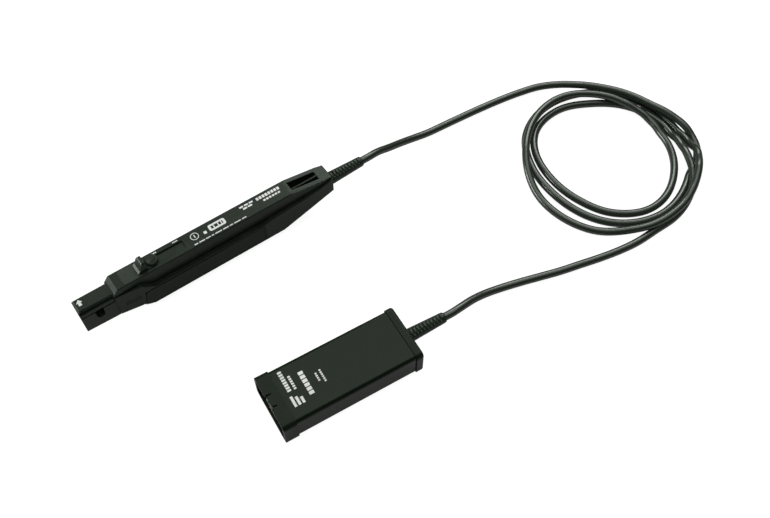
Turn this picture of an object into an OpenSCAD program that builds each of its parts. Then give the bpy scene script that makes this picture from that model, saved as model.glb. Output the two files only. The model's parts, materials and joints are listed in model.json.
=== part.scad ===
// Clamp-on oscilloscope current probe: a hand-held head with a sliding jaw, a coiled
// cable and an interface pod with a push-on coaxial plug.
// The head lies along X with its tip at the low end. The origin is in the middle of the
// head's flat base, and every size is in millimetres.

/* [Head] */
// Length of the head from the sliding jaw's top edge to the rear face
head_len = 175; // [165:1:195]
// Width of the lower body at its widest
body_w = 18; // [17:0.5:22]
// Height of the upper cover's top face above the base
head_h = 33.5; // [33:0.5:37]
// Width of the upper cover
cover_w = 12.8; // [12.4:0.2:14]
// Wall of the lower body
body_wall = 1.6; // [1.2:0.1:2]
// Wall of the upper cover
cover_wall = 1.3; // [1:0.1:1.5]
// Height of the shoulder that the cover stands on
ledge_h = 21.2; // [20.5:0.1:22]
// Width of the flat base
base_w = 11; // [8:0.5:13]
// Height of the chamfer between the base and the sides
base_chamfer = 4.6; // [3:0.1:6]
// Thickness of the grip panels
grip_t = 1; // [0.6:0.1:1.2]
// Length of the grip panels
grip_len = 83; // [60:1:90]

/* [Jaws] */
// Length of the nose in front of the body
nose_len = 20.8; // [20:0.1:24]
// Width of the nose and of the sliding jaw's flange
nose_w = 12.8; // [11.6:0.2:13]
// Height of the nose's underside at the tip
nose_floor = 10.1; // [9:0.1:11]
// Depth of the face where the jaws meet, below the cover's top
split_drop = 8.9; // [8.5:0.1:9.5]
// Largest conductor that the jaws take
conductor_d = 5; // [4:0.1:5.4]
// Distance of the conductor's axis from the tip
conductor_x = 10.2; // [9.6:0.1:10.8]
// Depth of the conductor's axis below the face where the jaws meet
conductor_drop = 5.3; // [4.6:0.1:5.6]
// How far the jaws' front faces reach ahead of the sliding jaw's top edge
tip_reach = 1.2; // [0.4:0.1:2]
// How far the jaw slides back
jaw_travel = 14.2; // [13:0.1:15]
// Thickness of the sliding jaw's flange
flange_t = 2.4; // [1.8:0.1:2.6]
// Width of the sliding jaw above its flange
jaw_w = 9.4; // [8.4:0.2:9.6]
// Depth of the sliding jaw's top face below the cover's top
jaw_drop = 3.3; // [2.7:0.1:3.8]

/* [Magnetic core] */
// Thickness of the core's legs and yoke
core_t = 3; // [2.4:0.1:3.2]
// Width of the core across the nose
core_w = 8; // [6:0.2:8.4]
// Thickness of the Hall element in the yoke's gap
hall_t = 1; // [0.6:0.1:1.4]
// Thickness of the winding on the rear leg
winding_t = 1.1; // [0.6:0.1:1.2]

/* [Lever] */
// Length of the thumb lever's plate
lever_len = 15; // [14:0.5:17]
// Width of the thumb lever's plate
lever_w = 8; // [7:0.2:9]
// Height of the lever's rib above the base of the head
rib_top = 40.4; // [38:0.2:43]
// Width of the lever's rib at its top
rib_w = 7; // [5:0.2:7.4]
// Diameter of the round thumb button
button_d = 7.8; // [6:0.2:8]
// Width of the slot that the lever's stem runs in
slot_w = 6; // [5:0.2:6.6]

/* [Pod] */
// Length of the pod
pod_len = 91.5; // [85:0.5:110]
// Width of the end caps
pod_w = 38; // [36:0.5:44]
// Height of the end caps
pod_h = 20.5; // [20:0.5:24]
// How far the end caps stand proud of the extrusion
cap_lip = 0.8; // [0.4:0.1:1.2]
// Length of the front cap
front_cap_len = 8.5; // [8:0.5:12]
// Length of the rear cap
rear_cap_len = 5; // [4:0.5:7]
// Wall of the extrusion
pod_wall = 1.5; // [1.2:0.1:1.8]
// Width of the springy tab between the front cap's slits
tab_w = 7.9; // [6:0.1:9]
// Sideways place of the coaxial plug
plug_y = 0.5; // [-0.5:0.1:1]
// Bore of the coaxial plug's sleeve
plug_bore = 9.9; // [9.7:0.1:10.2]
// Outer diameter of the coaxial plug's sleeve
plug_d = 13; // [12.2:0.1:13.6]

/* [Cable] */
// Diameter of the cable
cable_d = 5.2; // [4.6:0.1:5.4]
// Length of the head's strain relief outside the body
head_boot_len = 27; // [22:1:34]
// Length of the pod's strain relief outside the cap
pod_boot_len = 26.5; // [22:0.5:34]
// Diameter of a strain relief at the housing
boot_d = 8.8; // [8:0.1:9.4]
// Diameter of a strain relief at the cable
boot_end_d = 6.8; // [6.4:0.1:7.4]
// Number of ribs on a strain relief
boot_ribs = 9; // [6:1:10]

/* [Boards and screws] */
// Thickness of the circuit boards
board_t = 1.6; // [1:0.1:2]
// Diameter of the screw shanks
screw_d = 2; // [1.6:0.1:2.4]
// Diameter of the screw heads
screw_head_d = 3.6; // [3.2:0.1:4]

/* [Hidden] */
$fn = 48;

// Clearances
slip = 0.15;
seat_gap = 0.1;
eps = 0.01;
far = 400;

// Places along the head, from the tip
base_front = 44;
tail_len = 39;
base_rear = head_len - tail_len;
base_mid = (base_front + base_rear) / 2;
cover_front = nose_len - 0.3;
shelf_front = 46;
grip_front = 39;
grip_rear = grip_front + grip_len;
grip_drop = 1.2;
grip_low = 5.6;
tail_deck_len = 31;
deck_rear = head_len - tail_deck_len;
body_half = body_w / 2;
base_half = base_w / 2;
cover_half = cover_w / 2;
nose_half = nose_w / 2;

// Heights of the jaws
split_h = head_h - split_drop;
conductor_z = split_h - conductor_drop;
jaw_top = head_h - jaw_drop;

// Where the cover meets the lower body, seen from the side
shoulder_h = split_h + flange_t + 0.5;
tail_top = head_h - 5.4;
tail_edge = 1.9;
seam_rise = tail_top - tail_edge - ledge_h;
seam = [[nose_len, shoulder_h], [nose_len + 17, shoulder_h], [shelf_front, ledge_h],
    [grip_rear, ledge_h], [grip_rear + 8, ledge_h + 0.24 * seam_rise],
    [head_len - 26, ledge_h + 0.4 * seam_rise], [head_len - 10, ledge_h + 0.68 * seam_rise],
    [head_len, ledge_h + seam_rise]];

// Underside of the body, seen from the side
nose_root_floor = nose_floor - 0.9;
belly = [[nose_len, nose_root_floor + 0.3], [35, 8.4], [42, 4.4], [base_front - 0.6, 0.4],
    [base_front, 0], [base_rear, 0], [head_len - 3.5, 11.6], [head_len, 13]];

// Half widths of the body, seen from above
body_plan = [[nose_len, nose_half + 0.3], [35, body_half - 0.8], [grip_front, body_half],
    [grip_rear, body_half], [head_len - 20, body_half - 0.7], [head_len, body_half - 1.5]];

// Cover
cover_taper = 0.4;
cover_top_t = 1;
cover_edge = 0.5;
snout_floor = jaw_top - 1.2;
snout_len = 3.9;
cover_plan = [[cover_front, cover_half], [head_len - 6, cover_half],
    [head_len, cover_half - 0.8]];
pocket_front = deck_rear + 3;
pocket_rear = head_len - 8;
pocket_floor = ledge_h + 3.8;
pocket_half = cover_half - 3.1;
pocket_rib_w = 1.2;

// Thumb lever, and the slot that it runs in
lever_front = 39.3;
lever_floor = head_h + seat_gap;
plate_top = lever_floor + 0.7;
button_x = lever_front + lever_len - lever_w / 2;
stem_front = lever_front + 1.2;
stem_rear = lever_front + lever_len - 1;
slot_front = stem_front - seat_gap;
slot_rear = stem_rear + jaw_travel + 4.5;
button_floor = lever_floor - 0.4;
button_seat_d = 5;
button_rise = 1.6;
rib_foot = button_x - button_d / 2 - 0.3;

// Sliding jaw and the bar behind it
jaw_floor = split_h + 0.2;
bar_floor = jaw_floor + 1.2;
bar_top = head_h - cover_top_t - slip;
bar_half = jaw_w / 2;
bar_rear = slot_rear + 3;
bar_step = cover_front + snout_len + 8;
nose_groove = 0.5;

// Guide under the bar
guide_top = bar_floor - seat_gap;
guide_t = 1.2;
guide_front = shelf_front + 2;
guide_rear = bar_rear + jaw_travel + 3.6;
guide_half = cover_half - cover_taper - cover_wall - seat_gap;

// Detent spring between the guide and the bar
spring_t = 0.4;
spring_w = 4;
spring_groove = 1.6;
spring_tip = bar_rear - 4;
spring_foot_len = 2;
spring_foot = guide_rear - spring_foot_len - 0.6;

// Core
notch_half = conductor_d / 2;
leg_gap = notch_half + 0.9;
front_leg_x = conductor_x - leg_gap - core_t;
rear_leg_x = conductor_x + leg_gap + 1.2;
yoke_floor = nose_floor + 1.6;
winding_h = 5;
winding_z = yoke_floor + core_t + 0.3;

// Tongue of the nose inside the body
tongue_len = 14;
tongue_half = nose_half - 0.4;
tongue_floor = nose_root_floor + 1.2;
nose_screw_x = nose_len + 9;
nose_seat = 1.8;
tongue_bite = 5.2;

// Screw posts
post_d = 4.8;
front_post_x = guide_rear + 4;
rear_post_back = 26.5;
rear_post_x = head_len - rear_post_back;
screw_seat = 9;
screw_head_t = 1.6;
boss_floor = ledge_h - 1.2;
screw_tip = boss_floor + 7;

// Board in the head
rail_top = 9;
rail_w = 1.4;
board_front = 44;
board_rear = front_post_x - 4;
board_half = body_half - body_wall - grip_t - 0.75;

// Parts on the boards
chip_len = 8;
chip_w = 5;
chip_t = 1.8;
small_len = 2;
small_w = 1;
can_part_d = 4;
can_part_h = 4.5;

// Cable inside the head
gland_z = 18.6;
gland_gap = 0.2;
neck_d = 6.4;
collar_t = 1.8;
collar_d = 9;
rear_wall_x = head_len - body_wall;
inner_lead_d = 4;
ferrule_len = 6;
ferrule_d = 5.4;
head_ferrule_x = rear_wall_x - collar_t - ferrule_len - 2;
head_lead_front = rear_post_x + post_d / 2 + 1.2;
wire_d = 1.4;
wire_y = post_d / 2 + wire_d / 2 + seat_gap;

// Pod frame: where it stands beside the head, and how far it is turned
pod_at = [-29, -112.5];
pod_yaw = -4.8;
shell_w = pod_w - 2 * cap_lip;
shell_h = pod_h - 2 * cap_lip;
shell_r = 2.6;
cap_r = 3.2;
shell_front = front_cap_len;
shell_rear = pod_len - rear_cap_len;
pod_mid_z = pod_h / 2;
board_z = cap_lip + pod_wall + 3.5;
slot_rib = 1.2;
pod_board_top = board_z + seat_gap + board_t;
parts_back = 21.4;
parts_x = pod_len - parts_back;
can_half = 11;
can_low = [front_cap_len + 17.5, -can_half];
can_high = [parts_x - chip_len - 4, can_half];
can_h = 6;
can_t = 0.4;
pod_board_w = shell_w - 2 * pod_wall - 2 * seat_gap;
cap_wall = 1.8;
bulkhead_t = 1.8;
bulkhead_x = front_cap_len - bulkhead_t;
slit_w = 0.6;
slit_len = 4.2;
tab_y = plug_y;
plug_front = 1.2;
plug_flange_t = 1.4;
plug_thread_len = 5;
insulator_d = 6.6;
plug_pin_d = 1.4;
plug_axis_z = pod_mid_z;
block_w = 7.6;
block_y = plug_y - plug_d / 2 - 1 - block_w / 2;
block_h = 7;
block_step = 0.5;
block_t = 2.6;
pin_d = 1;
pin_pitch = 2.6;
pin_out = 2.2;
cap_screw_y = pod_w / 2 - 5.2;
cap_screw_z = pod_h / 2 - cap_lip - pod_wall - 1.6;
cap_screw_sink = 1.2;
cap_screw_head_t = 1;
channel_d = 3.8;
lip_w = 2 * (cap_screw_y - channel_d / 2 - 0.3);
lip_h = shell_h - 2 * pod_wall - 2 * slip;
lip_len = 2.4;
lip_t = 1.2;
pod_gland_y = 0.6;
pod_ferrule_x = shell_rear - collar_t - ferrule_len - 2;

// Cable route. The points of the two leads are [x, y, z] on the table beside the head.
cable_r = cable_d / 2;
lead_sides = 8;
coil_sides = 6;
head_boot_end = [head_len + head_boot_len - base_mid, 0, gland_z];
lead_head_points = [[126, 1.4, 16.6], [136, 2.5, 12.8], [147, 4, 8.6], [159, 4.5, 5],
    [170, 4, 3.1], [181, 3.4, 2.6], [197, 2.2, 2.6], [214, 0.7, 2.6], [231, -1.3, 2.6],
    [247, -4, 2.7], [261, -8.4, 3.8], [273, -16.4, 5.8]];
lead_pod_points = [[102, -121.2, 8.4], [111, -120.4, 5.4], [121, -120.9, 3.1],
    [132.5, -122.7, 2.6], [145, -126.2, 2.6], [158, -130.6, 2.6], [171, -134.8, 2.6],
    [185, -138.5, 2.6], [199, -142.2, 2.6], [213, -145.2, 2.6], [227, -147, 2.6]];

// Coil: its strand turns clockwise round this centre, 24 rings a turn, from a first
// direction. Each row of the lay is [degrees along the strand, radius, height].
coil_centre = [261.5, -84];
coil_start = 64.6;
coil_step = 15;
coil_lay = [
    // over the second turn, then down outside it
    [0, 60, 8.2], [15, 55.5, 8.6], [45, 52, 8.6], [60, 54, 8.8], [75, 59, 8.6],
    [90, 61.5, 4], [105, 58.5, 2.6], [120, 53, 2.6],
    // on the table, round the far side and back to the top
    [165, 56, 2.6], [195, 57.5, 2.6], [240, 54.5, 2.6], [270, 56.5, 2.6], [300, 60, 2.6],
    [360, 58, 2.6], [405, 55, 2.6], [435, 54, 2.6],
    // up over the first turn and the way out
    [450, 54.5, 4.8], [465, 56.5, 12], [480, 57.5, 14.8], [495, 59, 12], [510, 60, 9.5],
    [540, 62, 7.4], [570, 65.5, 2.6], [600, 64.5, 2.6],
    // on top of the second turn, then down inside it
    [645, 59, 8.6], [690, 57, 8.6], [705, 55, 8.6], [720, 51.5, 8.6], [735, 48, 8.6],
    [750, 45, 8], [765, 43.5, 6.4], [780, 42.5, 4.4], [795, 42, 2.6],
    // innermost turn on the table
    [840, 44, 2.6], [885, 50, 2.6], [915, 49.5, 2.6], [945, 47, 2.6], [975, 48, 2.6],
    [1020, 54, 2.6], [1050, 52, 2.6], [1080, 47.5, 2.6], [1110, 47.5, 2.6],
    [1140, 48.5, 2.6], [1155, 48, 3],
    // over the first turn and out to the pod
    [1170, 48.5, 6.4], [1185, 50.5, 9], [1200, 55, 9], [1215, 59.5, 5], [1230, 62.3, 2.6],
    [1245, 64.8, 2.6]];

// ---------------------------------------------------------------- helpers

function unit(v) = v / norm(v);

function both_sides(stations, inset) = concat(
    [for (s = stations) [s[0], s[1] - inset]],
    [for (i = [len(stations) - 1 : -1 : 0]) [stations[i][0], inset - stations[i][1]]]);

function lifted(line, dz) = [for (p = line) [p[0], p[1] + dz]];

function between(lower, upper) = concat(lower,
    [for (i = [len(upper) - 1 : -1 : 0]) upper[i]]);

// A flat shape drawn in X and Z, as thick as w and centred on Y = 0
module side_prism(points, w) {
    rotate([90, 0, 0])
        linear_extrude(w, center = true)
            polygon(points);
}

// A flat shape drawn in X and Y, from z0 to z1
module plan_prism(points, z0, z1) {
    translate([0, 0, z0])
        linear_extrude(z1 - z0)
            polygon(points);
}

// A flat shape drawn in Y and Z, from x0 to x1
module section_prism(points, x0, x1) {
    translate([x0, 0, 0])
        rotate([90, 0, 90])
            linear_extrude(x1 - x0)
                polygon(points);
}

// A box between two corners
module block(low, high) {
    translate(low)
        cube(high - low);
}

// A cylinder along X
module rod_x(x0, x1, d, y = 0, z = 0) {
    translate([x0, y, z])
        rotate([0, 90, 0])
            cylinder(h = x1 - x0, d = d);
}

// A rounded rectangle in Y and Z, from x0 to x1
module rounded_bar(x0, x1, w, h, r, z_mid) {
    translate([x0, 0, z_mid])
        rotate([90, 0, 90])
            linear_extrude(x1 - x0)
                rounded_square(w, h, r);
}

module rounded_square(w, h, r) {
    square([w - 2 * r, h], center = true);
    square([w, h - 2 * r], center = true);
    for (sx = [-1, 1])
        for (sy = [-1, 1])
            translate([sx * (w / 2 - r), sy * (h / 2 - r)])
                circle(r = r);
}

module at_head() {
    translate([-base_mid, 0, 0])
        children();
}

module at_pod() {
    translate([pod_at[0], pod_at[1], 0])
        rotate([0, 0, pod_yaw])
            children();
}

// ---------------------------------------------------------------- head housing

// Cross-section of the lower body: a flat base, chamfers and slightly leaning sides
function body_section(inset) = let (b = base_half - inset / 2, s = body_half - inset,
    lean = 0.6)
    [[-b, inset], [b, inset], [s - lean, base_chamfer + inset / 2], [s, ledge_h],
     [s, head_h], [-s, head_h], [-s, ledge_h], [lean - s, base_chamfer + inset / 2]];

module body_form(inset) {
    intersection() {
        side_prism(between(lifted(belly, inset), seam), body_w + 2);
        plan_prism(both_sides(body_plan, inset), -1, head_h);
        section_prism(body_section(inset), nose_len, head_len);
    }
}

// Chamfers along the rising underside of the tail
module tail_chamfers() {
    tail_foot = belly[6];
    tail_rise = tail_foot[1] / (tail_foot[0] - base_rear);
    for (side = [-1, 1])
        multmatrix([[1, 0, 0, base_rear], [0, side, 0, 0], [tail_rise, 0, 1, 0], [0, 0, 0, 1]])
            section_prism([[base_half, -1], [body_half + 2, -1],
                [body_half + 2, base_chamfer + 3], [body_half - 0.6, base_chamfer],
                [base_half, 0]], 0, head_len - base_rear + 1);
}

module body_cavity() {
    shelf_t = 1.4;
    difference() {
        intersection() {
            side_prism(between(lifted(belly, body_wall), lifted(seam, -shelf_t)), body_w);
            plan_prism(both_sides(body_plan, body_wall + grip_t), 0, head_h);
            section_prism(body_section(body_wall + grip_t), nose_len + body_wall, rear_wall_x);
        }
        // rails that carry the board
        for (side = [-1, 1])
            translate([0, side * (board_half + slip + rail_w / 2 - 1), rail_top / 2])
                translate([board_front + 2, -rail_w / 2, -rail_top / 2])
                    cube([board_rear - board_front - 4, rail_w, rail_top]);
    }
}

module body_mouth() {
    // opening under the cover, and the channel that the jaw's flange slides in
    mouth_half = cover_half - cover_taper - 0.8;
    block([nose_len + body_wall, -mouth_half, rail_top + 4], [head_len - 12, mouth_half, head_h]);
    block([nose_len - 1, -nose_half - slip, split_h - slip],
        [nose_len + jaw_travel + 1, nose_half + slip, head_h]);
    // seat of the nose's tongue
    block([nose_len - 1, -tongue_half - slip, tongue_floor - slip],
        [nose_len + tongue_len + slip, tongue_half + slip, head_h]);
}

module screw_posts(d, z0) {
    for (x = [front_post_x, rear_post_x])
        translate([x, 0, z0])
            cylinder(h = boss_floor - z0, d = d);
}

module lower_body() {
    color([0.11, 0.12, 0.11])
        at_head()
            difference() {
                union() {
                    difference() {
                        body_form(0);
                        body_cavity();
                        body_mouth();
                        for (side = [-1, 1])
                            grip_recess(side);
                    }
                    intersection() {
                        screw_posts(post_d, body_wall / 2);
                        body_form(body_wall / 2);
                    }
                    cable_saddle();
                }
                tail_chamfers();
                for (x = [front_post_x, rear_post_x])
                    translate([x, 0, -1]) {
                        cylinder(h = far, d = screw_d + 0.3);
                        cylinder(h = screw_seat + 1, d = screw_head_d + 0.4);
                    }
                translate([nose_screw_x, 0, -1]) {
                    cylinder(h = tongue_floor + 1, d = screw_d + 0.3);
                    cylinder(h = tongue_floor - nose_seat + 1, d = screw_head_d + 0.4);
                }
                rod_x(rear_wall_x - 1, head_len + 1, neck_d + gland_gap, 0, gland_z);
                rod_x(head_ferrule_x - 1, rear_wall_x, ferrule_d + seat_gap, 0, gland_z);
            }
}

// Saddle that holds the ferrule of the cable in the tail
module cable_saddle() {
    difference() {
        intersection() {
            block([head_ferrule_x + 1, -body_half, 0],
                [head_ferrule_x + ferrule_len - 1, body_half, gland_z + 1]);
            body_form(body_wall / 2);
        }
        block([head_ferrule_x, -ferrule_d / 2, gland_z],
            [head_ferrule_x + ferrule_len, ferrule_d / 2, head_h]);
    }
}

// Recess in the side that a grip panel lies in
module grip_recess(side) {
    side_y = side * (body_half - grip_t);
    translate([0, side * far / 2 + side_y, 0])
        side_prism(grip_outline(slip), far);
}

function grip_outline(grow) = let (top = ledge_h - grip_drop + grow)
    [[grip_front - 3 - grow, grip_low - grow], [grip_rear + grow, grip_low - grow],
     [grip_rear + grow, top], [grip_front - grow, top]];

module grip(side) {
    color([0.13, 0.14, 0.13])
        at_head()
            intersection() {
                translate([0, side * (far / 2 + body_half - grip_t), 0])
                    side_prism(grip_outline(0), far);
                body_form(0);
            }
}

module grip_left() {
    grip(1);
}

module grip_right() {
    grip(-1);
}

// Cross-section of the cover, a little narrower where it meets the lower body
function cover_section(inset, top) = let (h = cover_half - inset)
    [[cover_taper - h, ledge_h], [h - cover_taper, ledge_h], [h, top - cover_edge],
     [h - cover_edge, top], [cover_edge - h, top], [-h, top - cover_edge]];

module cover_form(inset, top_t) {
    top = head_h - top_t;
    top_line = [[cover_front, snout_floor], [cover_front + snout_len, head_h],
        [deck_rear, head_h], [head_len, tail_top]];
    intersection() {
        side_prism(between(concat([[cover_front, seam[0][1]]], seam), lifted(top_line, -top_t)),
            body_w);
        plan_prism(both_sides(cover_plan, inset), 0, far);
        section_prism(cover_section(inset, top), cover_front, head_len);
    }
}

module cover_cavity() {
    difference() {
        intersection() {
            cover_form(cover_wall, cover_top_t);
            block([cover_front, -body_half, 0], [pocket_front - 1.5, body_half, head_h]);
        }
        for (x = [front_post_x, rear_post_x])
            translate([x, 0, boss_floor])
                cylinder(h = far, d = post_d);
    }
    // way in for the sliding jaw
    block([cover_front - 1, -bar_half - slip, 0],
        [cover_front + snout_len + 2, bar_half + slip, jaw_top + slip]);
    block([cover_front - 1, -nose_half - slip, 0],
        [nose_len + jaw_travel + 1, nose_half + slip, split_h + flange_t + 2 * slip]);
    // room for the cable in the tail
    block([pocket_front - 2, -guide_half, 0],
        [head_len - body_wall, guide_half, pocket_floor - 1.6]);
}

module cover_pocket() {
    for (side = [-1, 1])
        block([pocket_front, side > 0 ? pocket_rib_w / 2 : -pocket_half, pocket_floor],
            [pocket_rear, side > 0 ? pocket_half : -pocket_rib_w / 2, far]);
    block([pocket_front, -pocket_half, tail_top + 1.2], [pocket_rear, pocket_half, far]);
}

module upper_cover() {
    color([0.15, 0.16, 0.15])
        at_head()
            difference() {
                union() {
                    difference() {
                        cover_form(0, 0);
                        cover_cavity();
                        cover_pocket();
                    }
                    cover_boss(rear_post_x);
                }
                // slot of the thumb lever
                block([slot_front, -slot_w / 2, ledge_h], [slot_rear, slot_w / 2, far]);
                for (x = [front_post_x, rear_post_x])
                    translate([x, 0, 0])
                        cylinder(h = screw_tip + 1, d = screw_d);
                nameplate_frame();
            }
}

// Boss under the pocket's floor
module cover_boss(x) {
    translate([x, 0, boss_floor])
        cylinder(h = pocket_floor - boss_floor, d = post_d);
}

// Shallow framed field in front of the lever
module nameplate_frame() {
    frame_front = cover_front + 8.3;
    frame_rear = lever_front - 0.9;
    frame_w = cover_w - 2.4;
    difference() {
        block([frame_front, -frame_w / 2, head_h - 0.25], [frame_rear, frame_w / 2, far]);
        block([frame_front + 0.5, 0.5 - frame_w / 2, 0], [frame_rear - 0.5, frame_w / 2 - 0.5, far]);
    }
}

// ---------------------------------------------------------------- nose and core

module notch(grow) {
    translate([conductor_x, 0, conductor_z])
        rotate([90, 0, 0])
            cylinder(h = far, r = notch_half + grow, center = true);
    block([conductor_x - notch_half - grow, -far, conductor_z],
        [conductor_x + notch_half + grow, far, far]);
}

module nose_housing() {
    color([0.16, 0.17, 0.15])
        at_head()
            difference() {
                union() {
                    side_prism([[-tip_reach, nose_floor], [nose_len - 3, nose_root_floor],
                        [nose_len, nose_root_floor], [nose_len, split_h - nose_groove],
                        [-tip_reach, split_h - nose_groove]], nose_w);
                    side_prism([[-tip_reach, split_h - nose_groove - eps],
                        [nose_len, split_h - nose_groove - eps], [nose_len, split_h],
                        [0.4 - tip_reach, split_h]], nose_w - 2 * nose_groove);
                    block([nose_len - 1, -tongue_half, tongue_floor],
                        [nose_len + tongue_len, tongue_half, split_h - slip]);
                }
                notch(0);
                core_shape(seat_gap);
                block([conductor_x - hall_t / 2 - seat_gap, -core_w / 2 - 0.6, yoke_floor - seat_gap],
                    [conductor_x + hall_t / 2 + seat_gap, core_w / 2 + 0.6,
                    yoke_floor + core_t + seat_gap]);
                translate([0, 0, seat_gap])
                    winding_shape(winding_t + seat_gap, winding_h + 2 * seat_gap);
                translate([nose_screw_x, 0, 0])
                    cylinder(h = tongue_floor + tongue_bite + 1.3, d = screw_d);
            }
}

// The U of the core: two legs and a yoke
module core_shape(grow) {
    half = core_w / 2 + grow;
    block([front_leg_x - grow, -half, yoke_floor - grow],
        [front_leg_x + core_t + grow, half, split_h + grow]);
    block([rear_leg_x - grow, -half, yoke_floor - grow],
        [rear_leg_x + core_t + grow, half, split_h + grow]);
    block([front_leg_x - grow, -half, yoke_floor - grow],
        [rear_leg_x + core_t + grow, half, yoke_floor + core_t + grow]);
}

module lower_core() {
    color([0.38, 0.38, 0.4])
        at_head()
            difference() {
                core_shape(0);
                block([conductor_x - hall_t / 2, -far, 0],
                    [conductor_x + hall_t / 2, far, conductor_z]);
            }
}

module hall_element() {
    color([0.1, 0.1, 0.1])
        at_head()
            block([conductor_x - hall_t / 2 + seat_gap / 2, -core_w / 2 - 0.5, yoke_floor],
                [conductor_x + hall_t / 2 - seat_gap / 2, core_w / 2 + 0.5, yoke_floor + core_t]);
}

// Outer form of the winding round the rear leg
module winding_shape(t, h) {
    block([rear_leg_x - t, -core_w / 2 - t, winding_z - seat_gap],
        [rear_leg_x + core_t + t, core_w / 2 + t, winding_z - seat_gap + h]);
}

module core_winding() {
    color([0.6, 0.33, 0.14])
        at_head()
            difference() {
                translate([0, 0, seat_gap])
                    winding_shape(winding_t, winding_h);
                block([rear_leg_x - seat_gap, -core_w / 2 - seat_gap, 0],
                    [rear_leg_x + core_t + seat_gap, core_w / 2 + seat_gap, far]);
            }
}

// ---------------------------------------------------------------- sliding jaw

module jaw_slider() {
    slab_edge = 0.5;
    color([0.15, 0.16, 0.15])
        at_head()
            difference() {
                union() {
                    // flange, bevelled where it meets the nose
                    section_prism([[nose_groove - nose_half, jaw_floor],
                        [nose_half - nose_groove, jaw_floor], [nose_half, jaw_floor + nose_groove],
                        [nose_half, split_h + flange_t], [-nose_half, split_h + flange_t],
                        [-nose_half, jaw_floor + nose_groove]], -tip_reach, cover_front);
                    // slab above it, with a slanted front
                    intersection() {
                        section_prism([[-bar_half, jaw_floor], [bar_half, jaw_floor],
                            [bar_half, jaw_top - slab_edge], [bar_half - slab_edge, jaw_top],
                            [slab_edge - bar_half, jaw_top], [-bar_half, jaw_top - slab_edge]],
                            -tip_reach, cover_front);
                        side_prism([[-tip_reach, jaw_floor], [cover_front, jaw_floor],
                            [cover_front, jaw_top], [0, jaw_top],
                            [-tip_reach, split_h + flange_t + 0.6]], nose_w);
                    }
                    // bar under the cover, higher behind the way in
                    side_prism([[cover_front - eps, bar_floor], [bar_rear, bar_floor],
                        [bar_rear, bar_top], [bar_step, bar_top], [bar_step, jaw_top],
                        [cover_front - eps, jaw_top]], 2 * bar_half);
                }
                upper_core_shape(seat_gap);
                // groove along the bar's underside for the detent spring
                block([spring_tip - jaw_travel - 1, -spring_w / 2 - 0.4, 0],
                    [bar_rear + 1, spring_w / 2 + 0.4, bar_floor + spring_groove]);
                translate([button_x, 0, bar_floor - 1])
                    cylinder(h = far, d = screw_d);
            }
}

module upper_core_shape(grow) {
    half = jaw_w / 2 - 0.8;
    block([front_leg_x - grow, -half - grow, 0],
        [rear_leg_x + core_t + grow, half + grow, jaw_floor + core_t + grow]);
}

module upper_core() {
    color([0.38, 0.38, 0.4])
        at_head()
            intersection() {
                upper_core_shape(0);
                block([0, -far, jaw_floor], [cover_front, far, far]);
            }
}

// Side view of the ramp and the upright rib
rib_line = [[lever_front, lever_floor], [rib_foot, lever_floor], [rib_foot, plate_top + 0.4],
    [rib_foot - 0.6, rib_top - 0.5], [rib_foot - 1, rib_top], [rib_foot - 2.3, rib_top],
    [rib_foot - 3.3, rib_top - 1], [rib_foot - 4.8, plate_top + 1],
    [rib_foot - 5.4, plate_top + 0.6], [lever_front + 0.2, lever_floor + 0.2]];

module thumb_lever() {
    lever_half = lever_w / 2;
    stem_half = slot_w / 2 - slip;
    color([0.13, 0.14, 0.13])
        at_head()
            difference() {
                union() {
                    intersection() {
                        side_prism(rib_line, lever_w);
                        section_prism([[-lever_half, lever_floor - 1], [lever_half, lever_floor - 1],
                            [lever_half, plate_top + 1], [rib_w / 2, rib_top - 0.8],
                            [rib_w / 2 - 0.8, rib_top], [0.8 - rib_w / 2, rib_top],
                            [-rib_w / 2, rib_top - 0.8], [-lever_half, plate_top + 1]],
                            lever_front - 1, lever_front + lever_len);
                    }
                    // plate with a round rear end under the button
                    block([rib_foot - 1, -lever_half, lever_floor], [button_x, lever_half, plate_top]);
                    translate([button_x, 0, lever_floor])
                        cylinder(h = plate_top - lever_floor, d = lever_w);
                    // stem down to the bar
                    block([stem_front, -stem_half, bar_top], [stem_rear, stem_half, lever_floor + eps]);
                }
                translate([button_x, 0, button_floor])
                    cylinder(h = 3, d = button_seat_d + 2 * slip);
                translate([button_x, 0, bar_top - 1])
                    cylinder(h = far, d = screw_d + 0.3);
            }
}

module thumb_button() {
    edge = 0.5;
    rim = plate_top + button_rise;
    hub_r = screw_head_d / 2 + 0.2;
    color([0.17, 0.18, 0.17])
        at_head()
            translate([button_x, 0, 0])
                rotate_extrude()
                    polygon([[0, button_floor + 0.9], [hub_r, button_floor + 0.9], [hub_r, button_floor],
                        [button_seat_d / 2, button_floor], [button_seat_d / 2, plate_top],
                        [button_d / 2, plate_top], [button_d / 2, rim - edge],
                        [button_d / 2 - edge, rim], [button_d / 2 - 2 * edge, rim],
                        [0, rim - 0.5]]);
}

module lever_screw() {
    color([0.7, 0.7, 0.72])
        at_head()
            translate([button_x, 0, 0]) {
                translate([0, 0, button_floor])
                    cylinder(h = 0.8, d = screw_head_d);
                translate([0, 0, bar_floor + 1])
                    cylinder(h = button_floor - bar_floor - 1 + eps, d = screw_d);
            }
}

// ---------------------------------------------------------------- inside the head

module slide_guide() {
    color([0.75, 0.74, 0.7])
        at_head()
            difference() {
                block([guide_front, -guide_half, guide_top - guide_t],
                    [guide_rear, guide_half, guide_top]);
                block([guide_front + 8, -1.5, 0], [guide_rear - 8, 1.5, far]);
            }
}

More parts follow.
